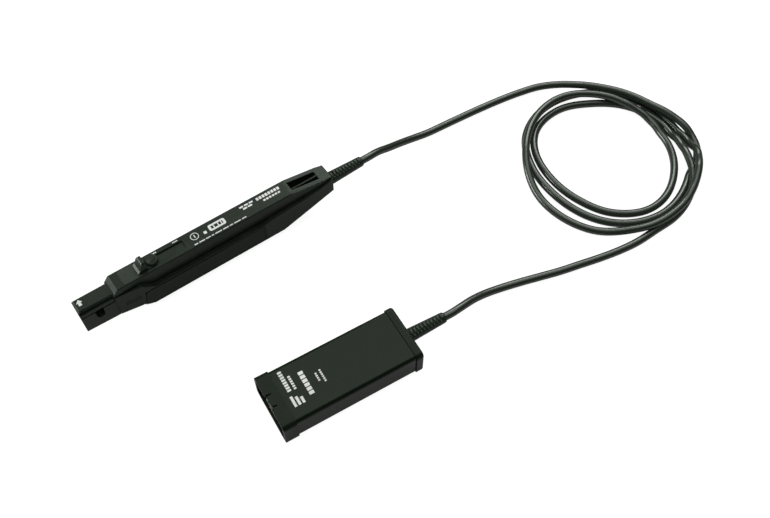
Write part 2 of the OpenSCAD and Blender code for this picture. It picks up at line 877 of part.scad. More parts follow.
module detent_spring() {
    leaf_floor = guide_top + 0.5;
    half = spring_w / 2;
    color([0.72, 0.72, 0.74])
        at_head()
            union() {
                block([spring_tip, -half, leaf_floor],
                    [spring_foot + spring_foot_len, half, leaf_floor + spring_t]);
                // bead that rubs in the bar's groove
                block([spring_tip + 0.6, -half, leaf_floor],
                    [spring_tip + 2, half, bar_floor + spring_groove - seat_gap]);
                block([spring_foot, -half, guide_top],
                    [spring_foot + spring_foot_len, half, leaf_floor + eps]);
            }
}

module sensor_board() {
    color([0.07, 0.3, 0.16])
        at_head()
            block([board_front, -board_half, rail_top], [board_rear, board_half, rail_top + board_t]);
}

module sensor_parts() {
    top = rail_top + board_t;
    chip_pitch = (board_rear - board_front) / 4;
    small_pitch = chip_pitch / 2;
    color([0.12, 0.12, 0.13])
        at_head() {
            for (i = [0 : 2])
                translate([board_front + chip_len + i * chip_pitch, -chip_w / 2, top])
                    cube([chip_len, chip_w, chip_t]);
            for (i = [0 : 4])
                translate([board_front + 3 + i * small_pitch, chip_w / 2 + 1, top])
                    cube([small_len, small_w, small_w]);
        }
}

module signal_wires() {
    wire_foot = board_rear - 3;
    color([0.75, 0.72, 0.6])
        at_head()
            for (side = [-1, 1]) {
                rod_x(wire_foot, head_lead_front + 1, wire_d, side * wire_y, gland_z);
                translate([wire_foot, side * wire_y, rail_top + board_t])
                    cylinder(h = gland_z - rail_top - board_t, d = wire_d);
                translate([wire_foot, side * wire_y, gland_z])
                    sphere(d = wire_d);
            }
}

module screw(length) {
    cylinder(h = screw_head_t, d = screw_head_d);
    translate([0, 0, screw_head_t - eps])
        cylinder(h = length, d = screw_d - 0.04);
}

module nose_screw() {
    color([0.62, 0.62, 0.64])
        at_head()
            translate([nose_screw_x, 0, tongue_floor - nose_seat - screw_head_t])
                screw(nose_seat + tongue_bite);
}

module case_screws() {
    color([0.62, 0.62, 0.64])
        at_head()
            for (x = [front_post_x, rear_post_x])
                translate([x, 0, screw_seat - screw_head_t])
                    screw(screw_tip - screw_seat);
}

// ---------------------------------------------------------------- cable fittings

// Ribbed strain relief on the X axis: a collar and neck inside the wall, then the ribs
module boot(wall, length) {
    groove = 0.7;
    smooth = 3;
    pitch = (length - smooth) / boot_ribs;
    function boot_r(x) = boot_d / 2 + (boot_end_d - boot_d) / 2 * x / length;
    inner = [[-wall - collar_t, 0], [-wall - collar_t, collar_d / 2], [-wall, collar_d / 2],
        [-wall, neck_d / 2], [0, neck_d / 2], [0, boot_r(0)]];
    ribs = [for (i = [0 : boot_ribs - 1]) for (p = [[0.55, 0], [0.7, groove], [0.95, groove], [1, 0]])
        [(i + p[0]) * pitch, boot_r((i + p[0]) * pitch) - p[1]]];
    outer = concat(inner, ribs, [[length - 0.6, boot_r(length)], [length, boot_r(length) - 0.6],
        [length, 0]]);
    rotate([0, 90, 0])
        rotate_extrude()
            polygon([for (p = outer) [p[1], p[0]]]);
}

module ferrule() {
    difference() {
        rod_x(0, ferrule_len, ferrule_d);
        rod_x(-1, ferrule_len + 1, inner_lead_d + 0.04);
    }
}

module head_boot() {
    color([0.1, 0.1, 0.1])
        at_head()
            translate([head_len, 0, gland_z])
                boot(body_wall, head_boot_len);
}

module head_ferrule() {
    color([0.72, 0.6, 0.3])
        at_head()
            translate([head_ferrule_x, 0, gland_z])
                ferrule();
}

module head_inner_lead() {
    color([0.2, 0.2, 0.2])
        at_head()
            rod_x(head_lead_front, rear_wall_x - collar_t, inner_lead_d, 0, gland_z);
}

// ---------------------------------------------------------------- pod

module pod_shell() {
    inner_w = shell_w - 2 * pod_wall;
    inner_h = shell_h - 2 * pod_wall;
    color([0.13, 0.14, 0.13])
        at_pod()
            difference() {
                rounded_bar(shell_front, shell_rear, shell_w, shell_h, shell_r, pod_mid_z);
                difference() {
                    rounded_bar(shell_front - 1, shell_rear + 1, inner_w, inner_h, 1, pod_mid_z);
                    // ribs under and over the board's edges
                    for (side = [-1, 1])
                        for (z = [board_z - slot_rib, board_z + board_t + 2 * seat_gap])
                            translate([0, side * inner_w / 2 - 1.2, z])
                                cube([pod_len, 2.4, slot_rib]);
                    screw_channels()
                        rod_x(0, pod_len, channel_d);
                }
                screw_channels()
                    rod_x(0, pod_len, screw_d);
            }
}

// Places of the four screws in the rear cap and of the channels that they bite in
module screw_channels() {
    for (side = [-1, 1])
        for (dz = [-1, 1])
            translate([0, side * cap_screw_y, pod_mid_z + dz * cap_screw_z])
                children();
}

// Lip of a cap inside the shell
module cap_lip_form(x0, x1) {
    difference() {
        rounded_bar(x0, x1, lip_w, lip_h, 1, pod_mid_z);
        rounded_bar(x0 - 1, x1 + 1, lip_w - 2 * lip_t, lip_h - 2 * lip_t, 0.6, pod_mid_z);
    }
}

module pod_front_cap() {
    opening_w = pod_w - 2 * cap_wall - 0.6;
    opening_h = pod_h - 2 * cap_wall;
    color([0.14, 0.15, 0.14])
        at_pod()
            difference() {
                union() {
                    rounded_bar(0, front_cap_len, pod_w, pod_h, cap_r, pod_mid_z);
                    cap_lip_form(front_cap_len - eps, front_cap_len + lip_len);
                }
                rounded_bar(-1, bulkhead_x, opening_w, opening_h, 2, pod_mid_z);
                // slits beside the springy tab, which ends a little behind the rim
                for (side = [-1, 1])
                    translate([-1, tab_y + side * tab_w / 2 - slit_w / 2, pod_mid_z])
                        cube([slit_len + 1, slit_w, pod_h]);
                translate([-1, tab_y - tab_w / 2, pod_mid_z])
                    cube([1.7, tab_w, pod_h]);
                rod_x(bulkhead_x - 1, front_cap_len + 1, plug_bore + 0.1, plug_y, plug_axis_z);
                block_neck(bulkhead_x - 1, front_cap_len + lip_len + 1, seat_gap);
            }
}

module pod_rear_cap() {
    color([0.14, 0.15, 0.14])
        at_pod()
            difference() {
                union() {
                    rounded_bar(shell_rear, pod_len, pod_w, pod_h, cap_r, pod_mid_z);
                    cap_lip_form(shell_rear - lip_len, shell_rear + eps);
                }
                rounded_bar(shell_rear - 1, pod_len - cap_wall, lip_w - 2 * lip_t, lip_h - 2 * lip_t,
                    0.6, pod_mid_z);
                rod_x(shell_rear, pod_len + 1, neck_d + gland_gap, pod_gland_y, pod_mid_z);
                screw_channels() {
                    rod_x(shell_rear - 1, pod_len + 1, screw_d + 0.3);
                    rod_x(pod_len - cap_screw_sink, pod_len + 1, screw_head_d + 0.4);
                }
            }
}

module cap_screws() {
    seat_x = pod_len - cap_screw_sink;
    color([0.3, 0.3, 0.31])
        at_pod()
            screw_channels() {
                rod_x(shell_rear - 5, seat_x + eps, screw_d - 0.04);
                rod_x(seat_x, seat_x + cap_screw_head_t, screw_head_d);
            }
}

module pod_board() {
    color([0.07, 0.3, 0.16])
        at_pod()
            block([front_cap_len + plug_thread_len + 0.6, -pod_board_w / 2, board_z + seat_gap],
                [shell_rear - 2.6, pod_board_w / 2, board_z + seat_gap + board_t]);
}

module pod_shield() {
    color([0.75, 0.75, 0.76])
        at_pod()
            difference() {
                block([can_low[0], can_low[1], pod_board_top],
                    [can_high[0], can_high[1], pod_board_top + can_h]);
                block([can_low[0] + can_t, can_low[1] + can_t, 0],
                    [can_high[0] - can_t, can_high[1] - can_t, pod_board_top + can_h - can_t]);
            }
}

module pod_parts() {
    color([0.12, 0.12, 0.13])
        at_pod() {
            // amplifier under the can, two chips and a row of capacitors behind it
            translate([can_low[0] + chip_len, -chip_w / 2, pod_board_top])
                cube([chip_len, chip_w, chip_t]);
            for (side = [-1, 1])
                translate([parts_x - chip_len, side * 1.3 * chip_w - chip_w / 2, pod_board_top])
                    cube([chip_len, chip_w, chip_t]);
            for (i = [-1.5 : 1.5])
                translate([parts_x + can_part_d / 2 + 0.4, i * 1.5 * can_part_d, pod_board_top])
                    cylinder(h = can_part_h, d = can_part_d);
        }
}

module plug_sleeve() {
    color([0.74, 0.74, 0.72])
        at_pod()
            translate([0, plug_y, plug_axis_z])
                difference() {
                    union() {
                        rod_x(plug_front, bulkhead_x, plug_d);
                        rod_x(bulkhead_x - eps, front_cap_len + plug_thread_len, plug_bore);
                    }
                    rod_x(plug_front - 1, bulkhead_x - plug_flange_t, plug_bore);
                    rod_x(plug_front, front_cap_len + plug_thread_len + 1, insulator_d);
                }
}

module plug_insulator() {
    color([0.9, 0.9, 0.88])
        at_pod()
            translate([0, plug_y, plug_axis_z])
                difference() {
                    rod_x(plug_front + 1.6, front_cap_len + plug_thread_len, insulator_d - 0.04);
                    rod_x(plug_front, front_cap_len + plug_thread_len + 1, plug_pin_d);
                }
}

module plug_pin() {
    color([0.83, 0.68, 0.3])
        at_pod()
            translate([0, plug_y, plug_axis_z])
                rod_x(plug_front + 0.4, front_cap_len + plug_thread_len + 3, plug_pin_d - 0.04);
}

module contact_block() {
    color([0.1, 0.1, 0.1])
        at_pod()
            difference() {
                union() {
                    block([bulkhead_x - block_t, block_y - block_w / 2, plug_axis_z - block_h / 2],
                        [bulkhead_x, block_y + block_w / 2, plug_axis_z + block_h / 2]);
                    block_neck(bulkhead_x - eps, front_cap_len + 1.5, 0);
                }
                contact_places()
                    rod_x(0, 2 * front_cap_len, pin_d);
            }
}

// Part of the contact block that goes through the bulkhead
module block_neck(x0, x1, grow) {
    half_w = block_w / 2 - block_step + grow;
    half_h = block_h / 2 - block_step + grow;
    block([x0, block_y - half_w, plug_axis_z - half_h], [x1, block_y + half_w, plug_axis_z + half_h]);
}

module contact_places() {
    for (i = [-1 : 1])
        for (j = [-0.5, 0.5])
            translate([0, block_y + i * pin_pitch, plug_axis_z + j * pin_pitch])
                children();
}

module contact_pins() {
    color([0.83, 0.68, 0.3])
        at_pod()
            contact_places()
                rod_x(bulkhead_x - block_t - pin_out, front_cap_len + 3, pin_d - 0.04);
}

module pod_boot() {
    color([0.1, 0.1, 0.1])
        at_pod()
            translate([pod_len, pod_gland_y, pod_mid_z])
                boot(cap_wall, pod_boot_len);
}

module pod_ferrule() {
    color([0.72, 0.6, 0.3])
        at_pod()
            translate([pod_ferrule_x, pod_gland_y, pod_mid_z])
                ferrule();
}

module pod_inner_lead() {
    color([0.2, 0.2, 0.2])
        at_pod()
            rod_x(pod_ferrule_x - 1, pod_len - cap_wall - collar_t, inner_lead_d, pod_gland_y,
                pod_mid_z);
}

// ---------------------------------------------------------------- cable

// Radius and height of the strand, t degrees along it
function lay_row(t) = max([for (k = [0 : len(coil_lay) - 2]) if (coil_lay[k][0] <= t) k]);

function lay_slope(k) = let (a = max(k - 1, 0), b = min(k + 1, len(coil_lay) - 1))
    (coil_lay[b][1] - coil_lay[a][1]) / (coil_lay[b][0] - coil_lay[a][0]);

function lay_radius(t) = let (k = lay_row(t), p = coil_lay[k], q = coil_lay[k + 1],
    h = q[0] - p[0], f = (t - p[0]) / h)
    (2 * f ^ 3 - 3 * f ^ 2 + 1) * p[1] + (f ^ 3 - 2 * f ^ 2 + f) * h * lay_slope(k)
    + (3 * f ^ 2 - 2 * f ^ 3) * q[1] + (f ^ 3 - f ^ 2) * h * lay_slope(k + 1);

function lay_height(t) = let (k = lay_row(t), p = coil_lay[k], q = coil_lay[k + 1])
    p[2] + (q[2] - p[2]) * (1 - cos(180 * (t - p[0]) / (q[0] - p[0]))) / 2;

function coil_point(t) = [coil_centre[0] + lay_radius(t) * cos(coil_start - t),
    coil_centre[1] + lay_radius(t) * sin(coil_start - t), lay_height(t)];

coil_end = coil_lay[len(coil_lay) - 1][0];
coil_loop = [for (t = [0 : coil_step : coil_end]) coil_point(t)];
coil_in = unit(coil_point(1) - coil_point(0));
coil_out = unit(coil_point(coil_end) - coil_point(coil_end - 1));
coil_first = coil_loop[0] - cable_d * coil_in;
coil_last = coil_loop[len(coil_loop) - 1] + cable_d * coil_out;
coil_route = concat([coil_first], coil_loop, [coil_last]);

pod_boot_end = let (x = pod_len + pod_boot_len)
    [pod_at[0] + x * cos(pod_yaw) - pod_gland_y * sin(pod_yaw),
     pod_at[1] + x * sin(pod_yaw) + pod_gland_y * cos(pod_yaw), pod_mid_z];
pod_out = [cos(pod_yaw), sin(pod_yaw), 0];
lead_head_route = concat([head_boot_end, head_boot_end + [cable_d, 0, 0]], lead_head_points,
    [coil_first]);
lead_pod_route = concat([pod_boot_end, pod_boot_end + cable_d * pod_out], lead_pod_points,
    [coil_last]);

// Direction of a route at point i, with the two end directions given
function heading(route, i, first, last) = i == 0 ? first
    : i == len(route) - 1 ? last
    : unit(unit(route[i + 1] - route[i]) + unit(route[i] - route[i - 1]));

// One ring of a tube, square to the heading
function ring(at, along, sides, r) = let (across = unit(cross(along, [0, 0, 1])),
    up = cross(across, along))
    [for (k = [0 : sides - 1]) let (a = 360 * (k + 0.5) / sides)
        at + r * (cos(a) * across + sin(a) * up)];

// Tube swept along a route
module tube(route, sides, first, last) {
    n = len(route);
    points = [for (i = [0 : n - 1])
        each ring(route[i], heading(route, i, first, last), sides, cable_r)];
    walls = [for (i = [0 : n - 2]) for (k = [0 : sides - 1])
        let (a = i * sides + k, b = i * sides + (k + 1) % sides)
            each [[a, b, b + sides], [a, b + sides, a + sides]]];
    first_cap = [for (k = [1 : sides - 2]) [0, k + 1, k]];
    tail = (n - 1) * sides;
    last_cap = [for (k = [1 : sides - 2]) [tail, tail + k, tail + k + 1]];
    polyhedron(points, concat(walls, first_cap, last_cap));
}

// Least distance between strands of the coil, measured on points along its chords
function strand_points() = [for (i = [0 : len(coil_loop) - 2]) for (f = [0, 0.33, 0.67])
    coil_loop[i] * (1 - f) + coil_loop[i + 1] * f];

function strand_gap() = let (p = strand_points(), apart = 24)
    min([for (i = [0 : len(p) - 1]) for (j = [i + apart : 1 : len(p) - 1]) norm(p[i] - p[j])])
    - cable_d;

// Length of a route from point i to its end
function route_length(route, i = 0) = i >= len(route) - 1 ? 0
    : norm(route[i + 1] - route[i]) + route_length(route, i + 1);

module cable_lead_head() {
    color([0.14, 0.14, 0.13])
        tube(lead_head_route, lead_sides, [1, 0, 0], coil_in);
}

module cable_coil() {
    echo(strand_gap = strand_gap(), coil_length = route_length(coil_route),
        lead_head_length = route_length(lead_head_route),
        lead_pod_length = route_length(lead_pod_route));
    color([0.14, 0.14, 0.13])
        tube(coil_route, coil_sides, coil_in, coil_out);
}

module cable_lead_pod() {
    color([0.14, 0.14, 0.13])
        tube(lead_pod_route, lead_sides, pod_out, -coil_out);
}

lower_body();
upper_cover();
grip_left();
grip_right();
nose_housing();
lower_core();
hall_element();
core_winding();
slide_guide();
detent_spring();
sensor_board();
sensor_parts();
signal_wires();
nose_screw();
case_screws();
head_ferrule();
head_inner_lead();
head_boot();
jaw_slider();
upper_core();
thumb_lever();
thumb_button();
lever_screw();
pod_shell();
pod_front_cap();
pod_rear_cap();
pod_board();
pod_shield();
pod_parts();
plug_sleeve();
plug_insulator();
plug_pin();
contact_block();
contact_pins();
cap_screws();
pod_ferrule();
pod_inner_lead();
pod_boot();
cable_lead_head();
cable_coil();
cable_lead_pod();
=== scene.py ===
"""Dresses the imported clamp-on current probe: shells, grips, cable, marks and finishes."""

import json
import logging
import math
from dataclasses import dataclass, field
from enum import Enum
from typing import Callable, Sequence, TypeVar

import bmesh
import bpy
from mathutils import Matrix, Vector


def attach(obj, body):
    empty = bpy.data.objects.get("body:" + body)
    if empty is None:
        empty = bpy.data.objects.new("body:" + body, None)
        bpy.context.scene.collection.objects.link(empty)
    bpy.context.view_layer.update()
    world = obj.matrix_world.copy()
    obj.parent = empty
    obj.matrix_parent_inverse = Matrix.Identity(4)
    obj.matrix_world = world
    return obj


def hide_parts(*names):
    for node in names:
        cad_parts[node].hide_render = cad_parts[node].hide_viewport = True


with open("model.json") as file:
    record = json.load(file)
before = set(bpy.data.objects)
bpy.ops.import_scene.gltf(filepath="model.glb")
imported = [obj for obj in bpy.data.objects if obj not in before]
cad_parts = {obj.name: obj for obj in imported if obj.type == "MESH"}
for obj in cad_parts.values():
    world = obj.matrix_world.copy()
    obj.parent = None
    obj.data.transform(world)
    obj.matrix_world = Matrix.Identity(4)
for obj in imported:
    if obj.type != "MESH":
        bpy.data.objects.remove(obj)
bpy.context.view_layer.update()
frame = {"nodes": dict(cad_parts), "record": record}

MM = 0.001
ROOT = "root"
JAW = "jaw"
HEAD_SHIFT = -90.0
POD_AT = (-29.0, -112.5)
POD_YAW = -4.8

Point = tuple[float, float, float]
Color = tuple[float, float, float]
Pair = tuple[float, float]
Piece = bpy.types.Object
Tree = bpy.types.NodeTree
Node = bpy.types.Node
Socket = bpy.types.NodeSocket
Edge = bmesh.types.BMEdge
EdgeTest = Callable[[Edge], bool]
MarkBar = tuple[float, float, float, float, float]
MarkRow = tuple[float, float, float, float, Sequence[float], float]
Place = TypeVar("Place", float, Vector)

log = logging.getLogger("probe")


# ------------------------------------------------------------------ places


def pod_matrix() -> Matrix:
    """The place and turn of the pod on the table.

    Returns:
        The matrix, for lengths in millimetres.
    """
    turn = Matrix.Rotation(math.radians(POD_YAW), 4, "Z")
    shift = Matrix.Translation(Vector((*POD_AT, 0.0)))
    return Matrix.Scale(MM, 4) @ shift @ turn


def head_matrix() -> Matrix:
    """The place of the head on the table, for lengths in millimetres."""
    return Matrix.Scale(MM, 4) @ Matrix.Translation(Vector((HEAD_SHIFT, 0.0, 0.0)))


def smooth_between(f: float, start: Place, leaving: Place, end: Place, arriving: Place) -> Place:
    """A place between two others, on a curve that leaves and arrives in given directions.

    Args:
        f: share of the way, from 0 to 1.
        start: where the curve starts.
        leaving: its direction there, as long as the gap.
        end: where it ends.
        arriving: its direction there, as long as the gap.

    Returns:
        The place.
    """
    return (
        (2 * f**3 - 3 * f**2 + 1) * start + (f**3 - 2 * f**2 + f) * leaving
        + (3 * f**2 - 2 * f**3) * end + (f**3 - f**2) * arriving
    )


# ------------------------------------------------------------------ modelling


class Bench:
    """The modelling operations that every sub-assembly uses.

    Points of a CAD node merge within node_merge metres, its faces count as flat within
    node_flat degrees, and points of a lathed piece merge within lathe_merge millimetres.
    """

    node_merge = 2e-6
    node_flat = 0.5
    lathe_merge = 1e-4

    @staticmethod
    def clear() -> None:
        """Leaves object mode with nothing selected."""
        if bpy.context.object and bpy.context.object.mode != "OBJECT":
            bpy.ops.object.mode_set(mode="OBJECT")
        bpy.ops.object.select_all(action="DESELECT")

    @staticmethod
    def add(name: str, data: bpy.types.ID) -> Piece:
        """Adds an object to the scene.

        Args:
            name: the object's name.
            data: the mesh, curve, lamp or camera that it shows.

        Returns:
            The object.
        """
        piece = bpy.data.objects.new(name, data)
        bpy.context.scene.collection.objects.link(piece)
        return piece

    @classmethod
    def take(cls, piece: Piece) -> None:
        """Makes one piece the selected and active one.

        Args:
            piece: the piece.
        """
        cls.clear()
        piece.select_set(True)
        bpy.context.view_layer.objects.active = piece

    @classmethod
    def edit(cls, piece: Piece) -> None:
        """Takes a piece into edit mode with all of it selected.

        Args:
            piece: the piece.
        """
        cls.take(piece)
        bpy.ops.object.mode_set(mode="EDIT")
        bpy.ops.mesh.select_all(action="SELECT")

    @classmethod
    def copy_node(cls, node: str, name: str) -> Piece:
        """Copies a CAD node's mesh, merges it and dissolves its flat triangles.

        Args:
            node: the CAD node.
            name: the new piece's name.

        Returns:
            The new piece, riding on nothing yet.
        """
        mesh = frame["nodes"][node].data.copy()
        mesh.name = name
        mesh.materials.clear()
        piece = cls.add(name, mesh)
        cls.take(piece)
        if mesh.has_custom_normals:
            bpy.ops.mesh.customdata_custom_splitnormals_clear()
        cls.edit(piece)
        bpy.ops.mesh.remove_doubles(threshold=cls.node_merge)
        bpy.ops.mesh.dissolve_limited(angle_limit=math.radians(cls.node_flat))
        bpy.ops.mesh.mark_sharp(clear=True)
        bpy.ops.object.mode_set(mode="OBJECT")
        return piece

    @classmethod
    def round_edges(
        cls,
        piece: Piece,
        width: float,
        segments: int = 2,
        angle: float = 25.0,
        where: EdgeTest | None = None,
        unit: float = MM,
    ) -> None:
        """Bevels the convex edges of a piece that a test picks.

        Args:
            piece: the piece.
            width: the bevel's width in millimetres.
            segments: the bevel's segments.
            angle: the least angle between an edge's faces, in degrees.
            where: picks edges; all edges count without it.
            unit: the length of a millimetre in the piece's own mesh.
        """
        cls.take(piece)
        bpy.ops.object.mode_set(mode="EDIT")
        bpy.ops.mesh.select_all(action="DESELECT")
        bpy.ops.mesh.select_mode(type="EDGE")
        mesh = bmesh.from_edit_mesh(piece.data)
        picked = [
            edge for edge in mesh.edges
            if edge.is_manifold and edge.is_convex
            and edge.calc_face_angle(0.0) >= math.radians(angle)
            and (where is None or where(edge))
        ]
        for edge in picked:
            edge.select_set(True)
        bmesh.update_edit_mesh(piece.data)
        if picked:
            bpy.ops.mesh.bevel(
                offset=width * unit, segments=segments, profile=0.5, clamp_overlap=False
            )
        bpy.ops.object.mode_set(mode="OBJECT")

    @classmethod
    def soften(cls, piece: Piece, angle: float = 35.0) -> None:
        """Shades a piece smooth across edges under an angle, with flat faces kept flat.

        Args:
            piece: the piece.
            angle: the sharpest edge that is smoothed, in degrees.
        """
        cls.take(piece)
        bpy.ops.object.shade_smooth_by_angle(angle=math.radians(angle))
        normals = piece.modifiers.new("even", "WEIGHTED_NORMAL")
        normals.keep_sharp = True
        bpy.ops.object.modifier_apply(modifier=normals.name)

    @staticmethod
    def place(piece: Piece, matrix: Matrix) -> None:
        """Moves a piece's mesh by a matrix and leaves its object at the origin."""
        piece.data.transform(matrix)
        piece.matrix_world = Matrix.Identity(4)

    @classmethod
    def join(cls, pieces: Sequence[Piece], name: str) -> Piece:
        """Joins pieces into one.

        Args:
            pieces: the pieces, of which the first is kept.
            name: the joined piece's name.

        Returns:
            The joined piece.
        """
        cls.take(pieces[0])
        for piece in pieces:
            piece.select_set(True)
        if len(pieces) > 1:
            bpy.ops.object.join()
        pieces[0].name = name
        pieces[0].data.name = name
        return pieces[0]

    @classmethod
    def lathe(cls, name: str, profile: Sequence[Pair], steps: int) -> Piece:
        """Spins a profile round the X axis.

        Args:
            name: the piece's name.
            profile: points of distance along X and radius, in millimetres.
            steps: how many steps go round.

        Returns:
            The new piece, in millimetres.
        """
        mesh = bpy.data.meshes.new(name)
        line = [(i, i + 1) for i in range(len(profile) - 1)]
        mesh.from_pydata([(x, 0.0, r) for x, r in profile], line, [])
        piece = cls.add(name, mesh)
        cls.edit(piece)
        bpy.ops.mesh.spin(
            steps=steps, angle=2 * math.pi, use_auto_merge=True, center=(0, 0, 0), axis=(1, 0, 0)
        )
        bpy.ops.mesh.select_all(action="SELECT")
        bpy.ops.mesh.remove_doubles(threshold=cls.lathe_merge)
        bpy.ops.mesh.normals_make_consistent(inside=False)
        bpy.ops.object.mode_set(mode="OBJECT")
        return piece


# ------------------------------------------------------------------ finishes


class FinishKind(Enum):
    """Kinds of surface, each with its bump strength and its spread of roughness."""

    MOULDED = (1.0, 0.03)
    METAL = (0.4, 0.06)
    PRINT = (0.6, 0.04)

    @property
    def bump(self) -> float:
        """Strength of the grain's bump."""
        return self.value[0]

    @property
    def spread(self) -> float:
        """How far the roughness varies to each side."""
        return self.value[1]


@dataclass(frozen=True)
class Finish:
    """One finish of the probe. Lengths are in millimetres."""

    slot: str
    kind: FinishKind
    color: Color
    roughness: float
    specular: float = 0.5
    grain_size: float = 0.3
    grain_depth: float = 0.02
    mottle: float = 0.25
    wear: float = 0.0
    dust: float = 0.0
    metallic: float = 0.0
    tint: Color = (0.82, 1.0, 0.82)

    def shade(self, gain: float, lift: float = 0.0) -> Color:
        """The finish's colour, scaled by a gain and lifted."""
        return tuple(min(1.0, channel * gain + lift) for channel in self.color)


BLACK = (0.0125, 0.0172, 0.0120)
DUST_COLOR = (0.16, 0.16, 0.15)
WORN_GAIN = 2.2
WORN_LIFT = 0.006

FINISHES = (
    Finish("body_plastic", FinishKind.MOULDED, BLACK, 0.40, 0.28, wear=0.12, dust=0.08),
    Finish("cover_plastic", FinishKind.MOULDED, BLACK, 0.38, 0.29, wear=0.12, dust=0.08),
    Finish("jaw_plastic", FinishKind.MOULDED, BLACK, 0.36, 0.30, wear=0.15, dust=0.08),
    Finish("lever_plastic", FinishKind.MOULDED, BLACK, 0.34, 0.30, wear=0.2, dust=0.05),
    Finish("cap_plastic", FinishKind.MOULDED, (0.0060, 0.0096, 0.0053), 0.33, 0.21,
           wear=0.12, dust=0.08),
    Finish("grip_rubber", FinishKind.MOULDED, (0.0135, 0.0178, 0.0128), 0.48, 0.22,
           grain_size=0.5, grain_depth=0.03, dust=0.08),
    Finish("boot_rubber", FinishKind.MOULDED, (0.0110, 0.0165, 0.0104), 0.38, 0.50,
           grain_size=0.4, dust=0.06),
    Finish("cable_jacket", FinishKind.MOULDED, (0.020, 0.027, 0.019), 0.24, 1.0,
           grain_size=0.8, grain_depth=0.0007, mottle=0.06, tint=(0.92, 1.0, 0.92)),
    Finish("pod_metal", FinishKind.MOULDED, (0.0048, 0.0082, 0.0042), 0.24, 0.26,
           grain_size=0.5, grain_depth=0.0015, mottle=0.2, wear=0.08, dust=0.03),
    Finish("guide_plastic", FinishKind.MOULDED, (0.62, 0.60, 0.53), 0.45, mottle=0.08),
    Finish("chip_plastic", FinishKind.MOULDED, (0.012, 0.012, 0.013), 0.55),
    Finish("wire_plastic", FinishKind.MOULDED, (0.55, 0.52, 0.42), 0.35, mottle=0.1),
    Finish("board", FinishKind.MOULDED, (0.008, 0.07, 0.022), 0.30, grain_depth=0.006),
    Finish("core_metal", FinishKind.METAL, (0.30, 0.30, 0.31), 0.38, metallic=1.0),
    Finish("spring_steel", FinishKind.METAL, (0.55, 0.55, 0.56), 0.28, metallic=1.0),
    Finish("screw_steel", FinishKind.METAL, (0.58, 0.58, 0.60), 0.25, metallic=1.0),
    Finish("screw_black", FinishKind.METAL, (0.02, 0.02, 0.022), 0.40, metallic=0.6),
    Finish("winding_copper", FinishKind.METAL, (0.55, 0.24, 0.09), 0.30, metallic=1.0),
    Finish("ferrule_brass", FinishKind.METAL, (0.62, 0.46, 0.19), 0.32, metallic=1.0),
    Finish("plug_metal", FinishKind.METAL, (0.66, 0.65, 0.62), 0.22, metallic=1.0),
    Finish("contact_gold", FinishKind.METAL, (0.80, 0.56, 0.18), 0.22, metallic=1.0),
    Finish("white_print", FinishKind.PRINT, (0.84, 0.86, 0.83), 0.55, 0.3, mottle=0.12),
    Finish("pad_plastic", FinishKind.MOULDED, (0.032, 0.039, 0.031), 0.46, 0.34,
           grain_size=0.45, grain_depth=0.02),
    # Painted shade: a near-black sheet that stands for the shade inside a shallow recess on the
    # nose sides.
    Finish("recess_shade", FinishKind.PRINT, (0.0016, 0.0024, 0.0015), 0.7, 0.05),
    Finish("dark_print", FinishKind.PRINT, (0.020, 0.024, 0.019), 0.55, 0.3),
)


